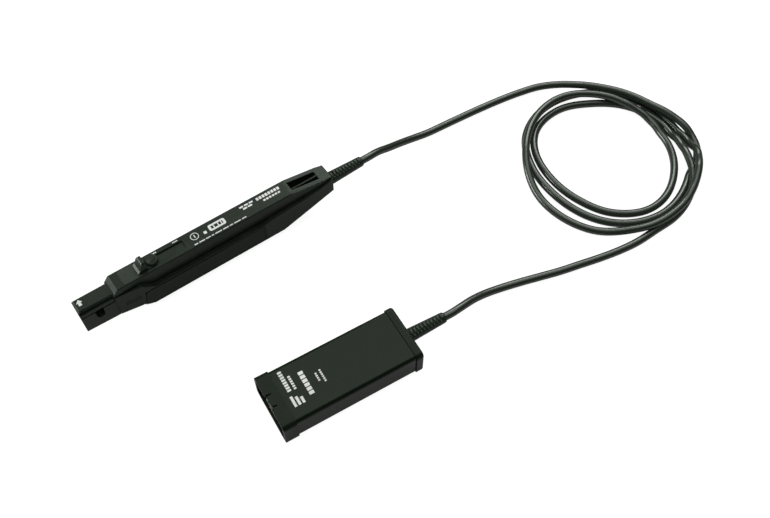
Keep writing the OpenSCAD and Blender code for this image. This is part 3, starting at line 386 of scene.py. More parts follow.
class FinishShop:
    """Builds the shared shader groups and one material for each finish."""

    def __init__(self) -> None:
        """Builds the shared groups and then the materials."""
        self.grain = self._grain_group()
        self.wear = self._wear_group()
        self.dust = self._dust_group()
        self.materials = {finish.slot: self._material(finish) for finish in FINISHES}

    @staticmethod
    def _group(
        name: str, value: str, default: float, outputs: Sequence[str]
    ) -> tuple[Tree, Node, Node]:
        """Starts a shader node group whose inputs are the coordinates and one value.

        Args:
            name: the group's name.
            value: name of the value input.
            default: the value input's default.
            outputs: names of the value outputs.

        Returns:
            The group, its input node and its output node.
        """
        group = bpy.data.node_groups.new(name, "ShaderNodeTree")
        group.interface.new_socket("Vector", in_out="INPUT", socket_type="NodeSocketVector")
        socket = group.interface.new_socket(value, in_out="INPUT", socket_type="NodeSocketFloat")
        socket.default_value = default
        for label in outputs:
            group.interface.new_socket(label, in_out="OUTPUT", socket_type="NodeSocketFloat")
        return group, group.nodes.new("NodeGroupInput"), group.nodes.new("NodeGroupOutput")

    @staticmethod
    def _noise(
        tree: Tree, place: Socket, scale: float | Socket, detail: float, roughness: float = 0.5
    ) -> Socket:
        """Adds a noise texture.

        Args:
            tree: the node tree.
            place: the socket of the coordinates.
            scale: the noise's scale, or the socket that gives it.
            detail: the noise's detail.
            roughness: the noise's roughness.

        Returns:
            The socket of its value.
        """
        noise = tree.nodes.new("ShaderNodeTexNoise")
        noise.inputs["Detail"].default_value = detail
        noise.inputs["Roughness"].default_value = roughness
        tree.links.new(place, noise.inputs["Vector"])
        if isinstance(scale, Socket):
            tree.links.new(scale, noise.inputs["Scale"])
        else:
            noise.inputs["Scale"].default_value = scale
        return noise.outputs["Fac"]

    @staticmethod
    def _stretch(tree: Tree, value: Socket, within: Pair) -> Socket:
        """Spreads a part of a value's range over 0 to 1.

        Args:
            tree: the node tree.
            value: the value's socket.
            within: the values that become 0 and 1.

        Returns:
            The socket of the result.
        """
        spread = tree.nodes.new("ShaderNodeMapRange")
        spread.inputs["From Min"].default_value, spread.inputs["From Max"].default_value = within
        tree.links.new(value, spread.inputs["Value"])
        return spread.outputs["Result"]

    @staticmethod
    def _times(tree: Tree, a: Socket, b: Socket, clamp: bool = False) -> Socket:
        """Multiplies two values.

        Args:
            tree: the node tree.
            a: the first value's socket.
            b: the second value's socket.
            clamp: whether the result is held within 0 to 1.

        Returns:
            The socket of the result.
        """
        product = tree.nodes.new("ShaderNodeMath")
        product.operation = "MULTIPLY"
        product.use_clamp = clamp
        tree.links.new(a, product.inputs[0])
        tree.links.new(b, product.inputs[1])
        return product.outputs["Value"]

    @classmethod
    def _mask_group(
        cls, name: str, output: str, within: Pair, scale: float, detail: float, broken: Pair
    ) -> Tree:
        """Builds a group whose mask is a feature of the shape, broken up by noise.

        Args:
            name: the group's name.
            output: the Geometry output that shows the feature.
            within: the feature's values where the mask starts and where it is full.
            scale: the noise's scale.
            detail: the noise's detail.
            broken: the noise's values where the mask starts and where it is full.

        Returns:
            The group.
        """
        group, given, out = cls._group(name, "Amount", 0.2, ["Mask"])
        feature = group.nodes.new("ShaderNodeNewGeometry").outputs[output]
        if output == "Normal":
            parts = group.nodes.new("ShaderNodeSeparateXYZ")
            group.links.new(feature, parts.inputs[0])
            feature = parts.outputs["Z"]
        shape = cls._stretch(group, feature, within)
        noise = cls._noise(group, given.outputs["Vector"], scale, detail)
        both = cls._times(group, shape, cls._stretch(group, noise, broken))
        share = cls._times(group, both, given.outputs["Amount"], clamp=True)
        group.links.new(share, out.inputs["Mask"])
        return group

    @classmethod
    def _grain_group(cls) -> Tree:
        """Builds the fine moulded texture: a height for bump and a slow mottle.

        Returns:
            The group.
        """
        group, given, out = cls._group("moulded_grain", "Scale", 3000.0, ["Height", "Mottle"])
        place = given.outputs["Vector"]
        fine = cls._noise(group, place, given.outputs["Scale"], detail=2.0, roughness=0.6)
        slow = cls._noise(group, place, scale=90.0, detail=4.0)
        group.links.new(fine, out.inputs["Height"])
        group.links.new(cls._stretch(group, slow, (0.3, 0.7)), out.inputs["Mottle"])
        return group

    @classmethod
    def _wear_group(cls) -> Tree:
        """Builds the rubbed edges: a mask that is high on convex edges.

        Returns:
            The group.
        """
        return cls._mask_group(
            "edge_wear", "Pointiness", (0.52, 0.62), scale=420.0, detail=3.0, broken=(0.35, 0.65)
        )

    @classmethod
    def _dust_group(cls) -> Tree:
        """Builds the fine specks of dust on faces that look up.

        Returns:
            The group.
        """
        return cls._mask_group(
            "settled_dust", "Normal", (0.4, 1.0), scale=1500.0, detail=1.0, broken=(0.62, 0.78)
        )

    @staticmethod
    def _mix(tree: Tree, share: Socket, a: Socket | Color, b: Color) -> Socket:
        """Mixes two colours.

        Args:
            tree: the material's node tree.
            share: the socket that gives the share of the second colour.
            a: a colour socket, or a plain colour.
            b: a plain colour.

        Returns:
            The mixed colour's socket.
        """
        mix = tree.nodes.new("ShaderNodeMix")
        mix.data_type = "RGBA"
        tree.links.new(share, mix.inputs["Factor"])
        if isinstance(a, Socket):
            tree.links.new(a, mix.inputs["A"])
        else:
            mix.inputs["A"].default_value = (*a, 1.0)
        mix.inputs["B"].default_value = (*b, 1.0)
        return mix.outputs["Result"]

    @staticmethod
    def _use(tree: Tree, group: Tree, place: Socket, **values: float) -> Node:
        """Places a shared group in a material.

        Args:
            tree: the material's node tree.
            group: the shared group.
            place: the socket of the coordinates.
            **values: values of the group's other inputs.

        Returns:
            The group's node.
        """
        node = tree.nodes.new("ShaderNodeGroup")
        node.node_tree = group
        tree.links.new(place, node.inputs["Vector"])
        for label, value in values.items():
            node.inputs[label].default_value = value
        return node

    def _material(self, finish: Finish) -> bpy.types.Material:
        """Builds one material.

        Args:
            finish: the finish that it shows.

        Returns:
            The material.
        """
        material = bpy.data.materials.new(finish.slot)
        material.use_nodes = True
        tree = material.node_tree
        shader = tree.nodes["Principled BSDF"]
        place = tree.nodes.new("ShaderNodeTexCoord").outputs["Object"]
        shader.inputs["Metallic"].default_value = finish.metallic
        shader.inputs["Specular IOR Level"].default_value = finish.specular
        shader.inputs["Specular Tint"].default_value = (*finish.tint, 1.0)
        grain = self._use(tree, self.grain, place, Scale=1.0 / (finish.grain_size * MM))
        mottle = grain.outputs["Mottle"]
        dark, light = finish.shade(1 - finish.mottle), finish.shade(1 + finish.mottle)
        color = self._mix(tree, mottle, dark, light)
        if finish.wear:
            worn = self._use(tree, self.wear, place, Amount=finish.wear).outputs["Mask"]
            color = self._mix(tree, worn, color, finish.shade(WORN_GAIN, WORN_LIFT))
        if finish.dust:
            dusty = self._use(tree, self.dust, place, Amount=finish.dust).outputs["Mask"]
            color = self._mix(tree, dusty, color, DUST_COLOR)
        tree.links.new(color, shader.inputs["Base Color"])
        rough = tree.nodes.new("ShaderNodeMapRange")
        rough.inputs["To Min"].default_value = finish.roughness - finish.kind.spread
        rough.inputs["To Max"].default_value = finish.roughness + finish.kind.spread
        tree.links.new(mottle, rough.inputs["Value"])
        tree.links.new(rough.outputs["Result"], shader.inputs["Roughness"])
        bump = tree.nodes.new("ShaderNodeBump")
        bump.inputs["Strength"].default_value = finish.kind.bump
        bump.inputs["Distance"].default_value = finish.grain_depth * MM
        tree.links.new(grain.outputs["Height"], bump.inputs["Height"])
        tree.links.new(bump.outputs["Normal"], shader.inputs["Normal"])
        return material

    def dress_node(self, node: str, slot: str) -> None:
        """Gives a CAD node that stays in view its material.

        Args:
            node: the CAD node.
            slot: its material slot.
        """
        piece = frame["nodes"][node]
        if not piece.material_slots:
            piece.data.materials.append(self.materials[slot])
        for entry in piece.material_slots:
            entry.link = "OBJECT"
            entry.material = self.materials[slot]
        log.info("%s keeps its CAD form", node)

    def settle(self, piece: Piece, body: str, slot: str, *nodes: str) -> None:
        """Gives a finished piece its material and body, and hides the CAD nodes that it stands
        for.

        Args:
            piece: the finished piece.
            body: the body that it rides on.
            slot: its material slot.
            *nodes: the CAD nodes that it stands for; a printed mark has none.
        """
        piece.data.materials.clear()
        piece.data.materials.append(self.materials[slot])
        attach(piece, body)
        if nodes:
            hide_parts(*nodes)
        log.info("%s rides on %s", piece.name, body)


# ------------------------------------------------------------------ studio


@dataclass(frozen=True)
class Lamp:
    """A soft lamp that looks at the middle of the object. Lengths are in metres."""

    name: str
    offset: Point
    size: Pair
    watts: float
    in_mirrors: bool = True

    def add(self, middle: Vector) -> None:
        """Adds the lamp.

        Args:
            middle: the middle of the object, from which the lamp's offset counts.
        """
        data = bpy.data.lights.new(self.name, "AREA")
        data.shape = "RECTANGLE"
        data.size, data.size_y = self.size
        data.energy = self.watts
        lamp = Bench.add(self.name, data)
        lamp.visible_glossy = self.in_mirrors
        away = Vector(self.offset)
        turn = (-away).to_track_quat("-Z", "Y").to_matrix().to_4x4()
        lamp.matrix_world = Matrix.Translation(middle + away) @ turn


LAMPS = (
    Lamp("back_softbox", (0.2200, 0.3101, 1.50), (1.7, 0.95), 5.8),
    Lamp("right_softbox", (0.80, 0.78, 0.98), (0.9, 0.5), 6.0),
    Lamp("left_softbox", (-1.1654, 0.9496, 0.40), (0.8, 0.6), 13.0),
    Lamp("front_fill", (-0.3421, -0.3093, 1.35), (1.1, 0.7), 4.5, in_mirrors=False),
)


def grey(level: float) -> tuple[float, float, float, float]:
    """A neutral colour of the given level."""
    return (level, level, level, 1.0)


@dataclass
class Studio:
    """Camera, table and light. Lengths are in metres."""

    camera_at: Point = (-0.09456, -0.31793, 0.4976)
    look: Point = (0.30865, 0.43498, -0.84588)
    right: Point = (0.81553, -0.57868, 0.0)
    lens: float = 42.91
    sensor: float = 36.0
    clip: Pair = (0.01, 50.0)
    middle: Point = (0.09, -0.07, 0.0)
    table_size: float = 14.0
    table_drop: float = 0.0002
    table_grey: float = 0.5
    table_roughness: float = 0.9
    table_glow: float = 0.92
    shadow_grey: float = 0.3
    mirror_share: float = 0.09
    bright_side: Point = (0.2606, 0.3672, 1.0)
    room_ramp: Sequence[Pair] = ((0.45, 0.045), (0.85, 0.24))

    def add_camera(self) -> None:
        """Adds the camera and makes it the scene's own."""
        data = bpy.data.cameras.new("camera")
        data.lens = self.lens
        data.sensor_width = self.sensor
        data.sensor_fit = "HORIZONTAL"
        data.clip_start, data.clip_end = self.clip
        camera = Bench.add("camera", data)
        look = Vector(self.look).normalized()
        right = Vector(self.right).normalized()
        turn = Matrix((right, right.cross(look), -look)).transposed().to_4x4()
        camera.matrix_world = Matrix.Translation(Vector(self.camera_at)) @ turn
        bpy.context.scene.camera = camera

    def seen_ray(self, tree: Tree) -> Socket:
        """Adds a value that is 1 for rays of the camera and through glass, less for mirrors.

        Args:
            tree: the material's node tree.

        Returns:
            The socket of the value.
        """
        path = tree.nodes.new("ShaderNodeLightPath")
        dim = tree.nodes.new("ShaderNodeMath")
        dim.operation = "MULTIPLY"
        dim.inputs[1].default_value = self.mirror_share
        first = tree.nodes.new("ShaderNodeMath")
        second = tree.nodes.new("ShaderNodeMath")
        first.operation = second.operation = "MAXIMUM"
        tree.links.new(path.outputs["Is Glossy Ray"], dim.inputs[0])
        tree.links.new(path.outputs["Is Camera Ray"], first.inputs[0])
        tree.links.new(dim.outputs[0], first.inputs[1])
        tree.links.new(first.outputs[0], second.inputs[0])
        tree.links.new(path.outputs["Is Transmission Ray"], second.inputs[1])
        return second.outputs[0]

    def add_table(self) -> None:
        """Adds the table top, which looks white but gives the object little light."""
        Bench.clear()
        bpy.ops.mesh.primitive_plane_add(
            size=self.table_size, location=(*self.middle[:2], -self.table_drop)
        )
        table = bpy.context.object
        table.name = "table"
        material = bpy.data.materials.new("table_paper")
        material.use_nodes = True
        tree = material.node_tree
        shader = tree.nodes["Principled BSDF"]
        shader.inputs["Base Color"].default_value = grey(self.table_grey)
        shader.inputs["Roughness"].default_value = self.table_roughness
        shader.inputs["Specular IOR Level"].default_value = 0.0
        glow = tree.nodes.new("ShaderNodeEmission")
        glow.inputs["Strength"].default_value = self.table_glow
        soft = tree.nodes.new("ShaderNodeBsdfDiffuse")
        soft.inputs["Color"].default_value = grey(self.shadow_grey)
        total = tree.nodes.new("ShaderNodeAddShader")
        pick = tree.nodes.new("ShaderNodeMixShader")
        tree.links.new(soft.outputs[0], total.inputs[0])
        tree.links.new(glow.outputs[0], total.inputs[1])
        tree.links.new(self.seen_ray(tree), pick.inputs["Fac"])
        tree.links.new(shader.outputs[0], pick.inputs[1])
        tree.links.new(total.outputs[0], pick.inputs[2])
        tree.links.new(pick.outputs[0], tree.nodes["Material Output"].inputs["Surface"])
        table.data.materials.append(material)

    def add_room(self) -> None:
        """Adds the room's light, brighter from above, which the camera sees as white."""
        world = bpy.data.worlds.new("room")
        bpy.context.scene.world = world
        world.use_nodes = True
        tree = world.node_tree
        sky = tree.nodes["Background"]
        place = tree.nodes.new("ShaderNodeTexCoord").outputs["Generated"]
        tilt = tree.nodes.new("ShaderNodeVectorMath")
        tilt.operation = "DOT_PRODUCT"
        tilt.inputs[1].default_value = Vector(self.bright_side).normalized()
        ramp = tree.nodes.new("ShaderNodeValToRGB")
        for stop, (position, level) in zip(ramp.color_ramp.elements, self.room_ramp):
            stop.position = position
            stop.color = grey(level)
        tree.links.new(place, tilt.inputs[0])
        tree.links.new(tilt.outputs["Value"], ramp.inputs["Fac"])
        tree.links.new(ramp.outputs["Color"], sky.inputs["Color"])
        white = tree.nodes.new("ShaderNodeBackground")
        white.inputs["Color"].default_value = grey(1.0)
        path = tree.nodes.new("ShaderNodeLightPath")
        pick = tree.nodes.new("ShaderNodeMixShader")
        tree.links.new(path.outputs["Is Camera Ray"], pick.inputs["Fac"])
        tree.links.new(sky.outputs[0], pick.inputs[1])
        tree.links.new(white.outputs[0], pick.inputs[2])
        tree.links.new(pick.outputs[0], tree.nodes["World Output"].inputs["Surface"])

    def add_light(self) -> None:
        """Adds the lamps and the room, and sets the plain view."""
        for lamp in LAMPS:
            lamp.add(Vector(self.middle))
        self.add_room()
        bpy.context.scene.view_settings.view_transform = "Standard"


# ------------------------------------------------------------------ cable


@dataclass
class Cable:
    """The cable from the head to the pod, in one piece. Lengths are in millimetres.

    Each row of the lay is degrees along the strand, radius and height. The coil turns
    clockwise round its centre, from the first direction in start.
    """

    diameter: float = 5.2
    length: float = 1541.0
    spacing: float = 2.4
    tuck: float = 3.0
    exit_head: Point = (112.0, 0.0, 18.6)
    exit_pod: Point = (88.64, -121.78, 10.25)
    head_points: Sequence[Point] = (
        (126, 1.4, 16.6), (136, 2.5, 12.8), (147, 4, 8.6), (159, 4.5, 5), (170, 4, 3.1),
        (181, 3.4, 2.6), (197, 2.2, 2.6), (214, 0.7, 2.6), (231, -1.3, 2.6), (247, -4, 2.7),
        (261, -8.4, 3.8), (273, -16.4, 5.8))
    pod_points: Sequence[Point] = (
        (102, -121.9, 9.6), (111, -121.1, 7.6), (121, -121.2, 5), (132.5, -123, 3.1),
        (145, -126.4, 2.6), (158, -130.6, 2.6), (171, -134.8, 2.6), (185, -138.5, 2.6),
        (199, -142.2, 2.6), (213, -145.2, 2.6), (227, -147, 2.6))
    centre: Pair = (261.5, -84.0)
    start: float = 64.6
    step: float = 5.0
    inside: float = 0.992
    lay: Sequence[tuple[float, float, float]] = (
        (0, 60, 8.2), (15, 55.5, 8.6), (45, 52, 8.6), (60, 53.6, 8.8), (75, 57.5, 7.6),
        (90, 60.8, 3.5), (105, 58.7, 2.6), (120, 54, 2.6), (165, 57.2, 2.6), (195, 57.5, 2.6),
        (240, 54.5, 2.6), (270, 56.5, 2.6), (300, 60, 2.6), (360, 58, 2.6), (405, 55, 2.6),
        (435, 54, 2.6), (450, 55, 5.6), (465, 56.7, 12.3), (480, 57.5, 14.8), (495, 59.6, 11.6),
        (510, 61.6, 8.9), (540, 64.6, 6.4), (570, 66.1, 2.6), (600, 64.5, 2.6), (645, 59, 8.6),
        (690, 57, 8.6), (705, 55, 8.6), (720, 51.5, 8.6), (735, 48, 8.6), (750, 45, 8),
        (765, 43.5, 6.4), (780, 42.5, 4.4), (795, 42, 2.6), (840, 44, 2.6), (885, 50, 2.6),
        (915, 49.5, 2.6), (945, 47, 2.6), (975, 48, 2.6), (1020, 54, 2.6), (1050, 52, 2.6),
        (1080, 47.5, 2.6), (1110, 47.5, 2.6), (1140, 48.5, 2.6), (1155, 48, 3),
        (1170, 48.5, 6.4), (1185, 50.5, 9), (1200, 55, 9), (1215, 59.5, 5.2),
        (1230, 62.3, 2.6), (1245, 64.8, 2.6))

    def _slope(self, k: int) -> float:
        """Change of radius per degree at a row of the lay."""
        a, b = self.lay[max(k - 1, 0)], self.lay[min(k + 1, len(self.lay) - 1)]
        return (b[1] - a[1]) / (b[0] - a[0])

    def coil_point(self, turn: float) -> Vector:
        """A point of the coil.

        Args:
            turn: degrees along the strand.

        Returns:
            The point in millimetres.
        """
        k = max(i for i in range(len(self.lay) - 1) if self.lay[i][0] <= turn)
        (low, radius_from, height_from), (high, radius_to, height_to) = self.lay[k : k + 2]
        span = high - low
        f = (turn - low) / span
        radius = self.inside * smooth_between(
            f, radius_from, span * self._slope(k), radius_to, span * self._slope(k + 1)
        )
        height = height_from + (height_to - height_from) * (1 - math.cos(math.pi * f)) / 2
        angle = math.radians(self.start - turn)
        return Vector((
            self.centre[0] + radius * math.cos(angle),
            self.centre[1] + radius * math.sin(angle),
            height,
        ))

    def lead(self, exit_at: Point, out: Vector, points: Sequence[Point]) -> list[Vector]:
        """The points of a lead, from inside its housing.

        Args:
            exit_at: where it leaves the housing.
            out: the direction in which it leaves.
            points: the points that it then passes.

        Returns:
            The points in millimetres.
        """
        at = Vector(exit_at)
        near = [at - out * self.tuck, at, at + out * self.diameter]
        return near + [Vector(point) for point in points]

    def route(self) -> list[Vector]:
        """The points that the cable passes, from the head to the pod.

        Returns:
            The points in millimetres.
        """
        yaw = math.radians(POD_YAW)
        end = self.lay[-1][0]
        coil = [self.coil_point(i * self.step) for i in range(int(end / self.step) + 1)]
        first_way = (self.coil_point(1.0) - self.coil_point(0.0)).normalized()
        last_way = (self.coil_point(end) - self.coil_point(end - 1.0)).normalized()
        lead_in = self.lead(self.exit_head, Vector((1.0, 0.0, 0.0)), self.head_points)
        out_of_pod = Vector((math.cos(yaw), math.sin(yaw), 0.0))
        lead_out = self.lead(self.exit_pod, out_of_pod, self.pod_points)
        return (
            lead_in
            + [coil[0] - first_way * self.diameter]
            + coil
            + [coil[-1] + last_way * self.diameter]
            + lead_out[::-1]
        )

    def smooth_route(self) -> list[Vector]:
        """The route with more points, on a smooth curve through the same points.

        Returns:
            The points in millimetres.
        """
        points = self.route()
        smooth: list[Vector] = []
        for i in range(len(points) - 1):
            a, b = points[max(i - 1, 0)], points[i]
            c, d = points[i + 1], points[min(i + 2, len(points) - 1)]
            gap = (c - b).length
            leaving = (c - a).normalized() * gap
            arriving = (d - b).normalized() * gap
            parts = max(1, round(gap / self.spacing))
            smooth += [smooth_between(j / parts, b, leaving, c, arriving) for j in range(parts)]
        smooth.append(points[-1])
        for point in smooth:
            point.z = max(point.z, self.diameter / 2)
        return smooth

    def build(self, shop: FinishShop) -> None:
        """Builds the cable.

        Args:
            shop: the finishes.
        """
        data = bpy.data.curves.new("cable", "CURVE")
        data.dimensions = "3D"
        data.bevel_depth = self.diameter / 2 * MM
        data.bevel_resolution = 5
        data.use_fill_caps = True
        points = self.smooth_route()
        spline = data.splines.new("POLY")
        spline.points.add(len(points) - 1)
        for spot, point in zip(spline.points, points):
            spot.co = (*(point * MM), 1.0)
        spline.use_smooth = True
        cable = Bench.add("cable", data)
        shop.settle(
            cable, ROOT, "cable_jacket", "cable_lead_head", "cable_coil", "cable_lead_pod"
        )


# ------------------------------------------------------------------ strain reliefs


@dataclass
class StrainRelief:
    """A segmented strain relief. Lengths are in millimetres.

    The collar sits behind the housing's wall, and the cable comes out at the nose. The
    rows of tip are the distance before the end and the drop of the radius there.
    """

    length: float
    wall: float
    base_d: float = 8.8
    end_d: float = 6.8
    base_round: float = 0.3
    neck_d: float = 6.4
    collar_t: float = 1.8
    collar_d: float = 9.0
    nose: float = 3.0
    nose_back: float = 0.2
    nose_step: float = 0.15
    tip: Sequence[Pair] = ((0.9, 0.0), (0.5, 0.12), (0.2, 0.35), (0.0, 0.75))
    ribs: int = 10
    groove: float = 1.35
    slot_share: float = 0.42
    slot_at: float = 0.76
    slot_wide: float = 12.0
    slot_high: float = 4.0
    edge_round: float = 0.1
    steps: int = 64

    def radius(self, x: float) -> float:
        """Radius of the ribs at a distance from the housing."""
        return self.base_d / 2 + (self.end_d - self.base_d) / 2 * x / self.length

    def profile(self) -> list[Pair]:
        """The outline from the collar inside the housing to the cable.

        Returns:
            Points of distance from the housing and radius.
        """
        end, start, nose = self.length, -self.wall - self.collar_t, self.length - self.nose
        return [
            (start, 0.0),
            (start, self.collar_d / 2),
            (-self.wall, self.collar_d / 2),
            (-self.wall, self.neck_d / 2),
            (0.0, self.neck_d / 2),
            (0.0, self.radius(0.0) - self.base_round),
            (self.base_round, self.radius(self.base_round)),
            (nose - self.nose_back, self.radius(nose)),
            (nose, self.radius(end) + self.nose_step),
            *((end - before, self.radius(end) - drop) for before, drop in self.tip),
            (end, 0.0),
        ]

    def cutter(self) -> Piece:
        """Makes the slots that are cut from above and from below.

        Returns:
            The slots, as one piece.
        """
        pitch = (self.length - self.nose) / self.ribs
        size = Matrix.Diagonal((pitch * self.slot_share, self.slot_wide, self.slot_high, 1.0))
        slots = []
        for i in range(self.ribs):
            x = (i + self.slot_at) * pitch
            up = self.radius(x) - self.groove + self.slot_high / 2
            for side in (-1, 1):
                Bench.clear()
                bpy.ops.mesh.primitive_cube_add(size=1.0, location=(0, 0, 0))
                slot = bpy.context.object
                slot.data.transform(Matrix.Translation((x, 0, side * up)) @ size)
                slots.append(slot)
        return Bench.join(slots, "slots")

    def build(self, name: str) -> Piece:
        """Builds the strain relief on the X axis, from the housing's face at X = 0.

        Args:
            name: the piece's name.

        Returns:
            The piece, in millimetres.
        """
        piece = Bench.lathe(name, self.profile(), self.steps)
        slots = self.cutter()
        Bench.take(piece)
        cut = piece.modifiers.new("slots", "BOOLEAN")
        cut.operation = "DIFFERENCE"
        cut.solver = "EXACT"
        cut.object = slots
        bpy.ops.object.modifier_apply(modifier=cut.name)
        bpy.data.objects.remove(slots, do_unlink=True)
        Bench.round_edges(piece, self.edge_round, 1, 40.0, unit=1.0)
        return piece


# ------------------------------------------------------------------ printed marks


@dataclass
class PrintedMarks:
    """Plain marks laid on a flat face: white or dark print, a touch pad, or a sheet of painted
    shade. Lengths are in millimetres.
    """

    name: str
    face_z: float
    matrix: Matrix
    thickness: float = 0.05
    sunk: float = 0.01
    row_round: float = 0.15
    ring_steps: int = 40
    plates: list[Piece] = field(default_factory=list)

    def bar(self, x0: float, y0: float, x1: float, y1: float, round_by: float) -> None:
        """Adds a bar with round corners.

        Args:
            x0: low end along the part.
            y0: low side.
            x1: high end along the part.
            y1: high side.
            round_by: radius of the corners.
        """
        Bench.clear()
        bpy.ops.mesh.primitive_plane_add(size=1.0, location=(0, 0, 0))
        plate = bpy.context.object
        size = Matrix.Diagonal((x1 - x0, y1 - y0, 1.0, 1.0))
        plate.data.transform(Matrix.Translation(((x0 + x1) / 2, (y0 + y1) / 2, 0)) @ size)
        Bench.edit(plate)
        bpy.ops.mesh.bevel(offset=round_by, segments=4, affect="VERTICES", clamp_overlap=True)
        bpy.ops.object.mode_set(mode="OBJECT")
        self.plates.append(plate)

    def shape(self, points: Sequence[Pair], faces: Sequence[Sequence[int]]) -> None:
        """Adds a flat shape.

        Args:
            points: its points along and across the part.
            faces: the places of each face's points in that list.
        """
        mesh = bpy.data.meshes.new("shape")
        mesh.from_pydata([(x, y, 0.0) for x, y in points], [], faces)
        self.plates.append(Bench.add("shape", mesh))

    def ring(self, x: float, y: float, outer: float, inner: float) -> None:
        """Adds a ring.

        Args:
            x: its middle along the part.
            y: its middle across the part.
            outer: outer radius.
            inner: inner radius.
        """
        steps = self.ring_steps
        turns = [2 * math.pi * i / steps for i in range(steps)]
        points = [
            (x + radius * math.cos(turn), y + radius * math.sin(turn))
            for radius in (outer, inner) for turn in turns
        ]
        after = [(i + 1) % steps for i in range(steps)]
        self.shape(points, [(i, after[i], steps + after[i], steps + i) for i in range(steps)])

    def row(
        self, x0: float, y0: float, x1: float, y1: float, parts: Sequence[float], gap: float
    ) -> None:
        """Adds a row of plain bars along the longer side of a box.

        Args:
            x0: low end along the part.
            y0: low side.
            x1: high end along the part.
            y1: high side.
            parts: shares of the length that the bars take, one after the other.
            gap: gap between the bars.
        """
        along_x = abs(x1 - x0) >= abs(y1 - y0)
        at, high = (x0, x1) if along_x else (y0, y1)
        room = high - at - gap * (len(parts) - 1)
        for share in parts:
            size = room * share / sum(parts)
            if along_x:
                self.bar(at, y0, at + size, y1, self.row_round)
            else:
                self.bar(x0, at, x1, at + size, self.row_round)
            at += size + gap

    def build(self, shop: FinishShop, body: str, slot: str = "white_print") -> None:
        """Joins the marks, gives them a thickness and lays them on the face.

        Args:
            shop: the finishes.
            body: the body that they ride on.
            slot: their finish.
        """
        piece = Bench.join(self.plates, self.name)
        Bench.edit(piece)
        bpy.ops.mesh.normals_make_consistent(inside=False)
        bpy.ops.object.mode_set(mode="OBJECT")
        sheet = piece.modifiers.new("thickness", "SOLIDIFY")
        sheet.thickness = self.thickness
        sheet.offset = 0.0
        bpy.ops.object.modifier_apply(modifier=sheet.name)
        lift = self.face_z + self.thickness / 2 - self.sunk
        Bench.place(piece, self.matrix @ Matrix.Translation((0, 0, lift)))
        shop.settle(piece, body, slot)


# ------------------------------------------------------------------ housings


class Housing:
    """What the head and the pod have in common."""

    @staticmethod
    def shell(
        shop: FinishShop,
        node: str,
        slot: str,
        body: str,
        width: float,
        angle: float = 25.0,
        where: EdgeTest | None = None,
        segments: int = 2,
        shortest: float = 2.2,
    ) -> None:
        """Replaces a CAD shell by a copy with rounded edges.

        Args:
            shop: the finishes.
            node: the CAD node.
            slot: its material slot.
            body: the body that it rides on.
            width: width of the rounding in millimetres.
            angle: the least angle of a rounded edge, in degrees.
            where: picks edges; all edges count without it.
            segments: the rounding's segments.
            shortest: the shortest edge that is rounded, in widths of the rounding.
        """
        piece = Bench.copy_node(node, f"{node}_dressed")
        least = width * shortest * MM
        Bench.round_edges(
            piece, width, segments, angle,
            lambda edge: edge.calc_length() > least and (where is None or where(edge)),
        )
        Bench.soften(piece)
        shop.settle(piece, body, slot, node)

    @staticmethod
    def boot(shop: FinishShop, node: str, relief: StrainRelief, matrix: Matrix) -> None:
        """Builds a strain relief in place of its CAD node.

        Args:
            shop: the finishes.
            node: the CAD node.
            relief: the strain relief.
            matrix: its place, for lengths in millimetres.
        """
        boot = relief.build(f"{node}_segmented")
        Bench.place(boot, matrix)
        Bench.soften(boot, 30.0)
        shop.settle(boot, ROOT, "boot_rubber", node)


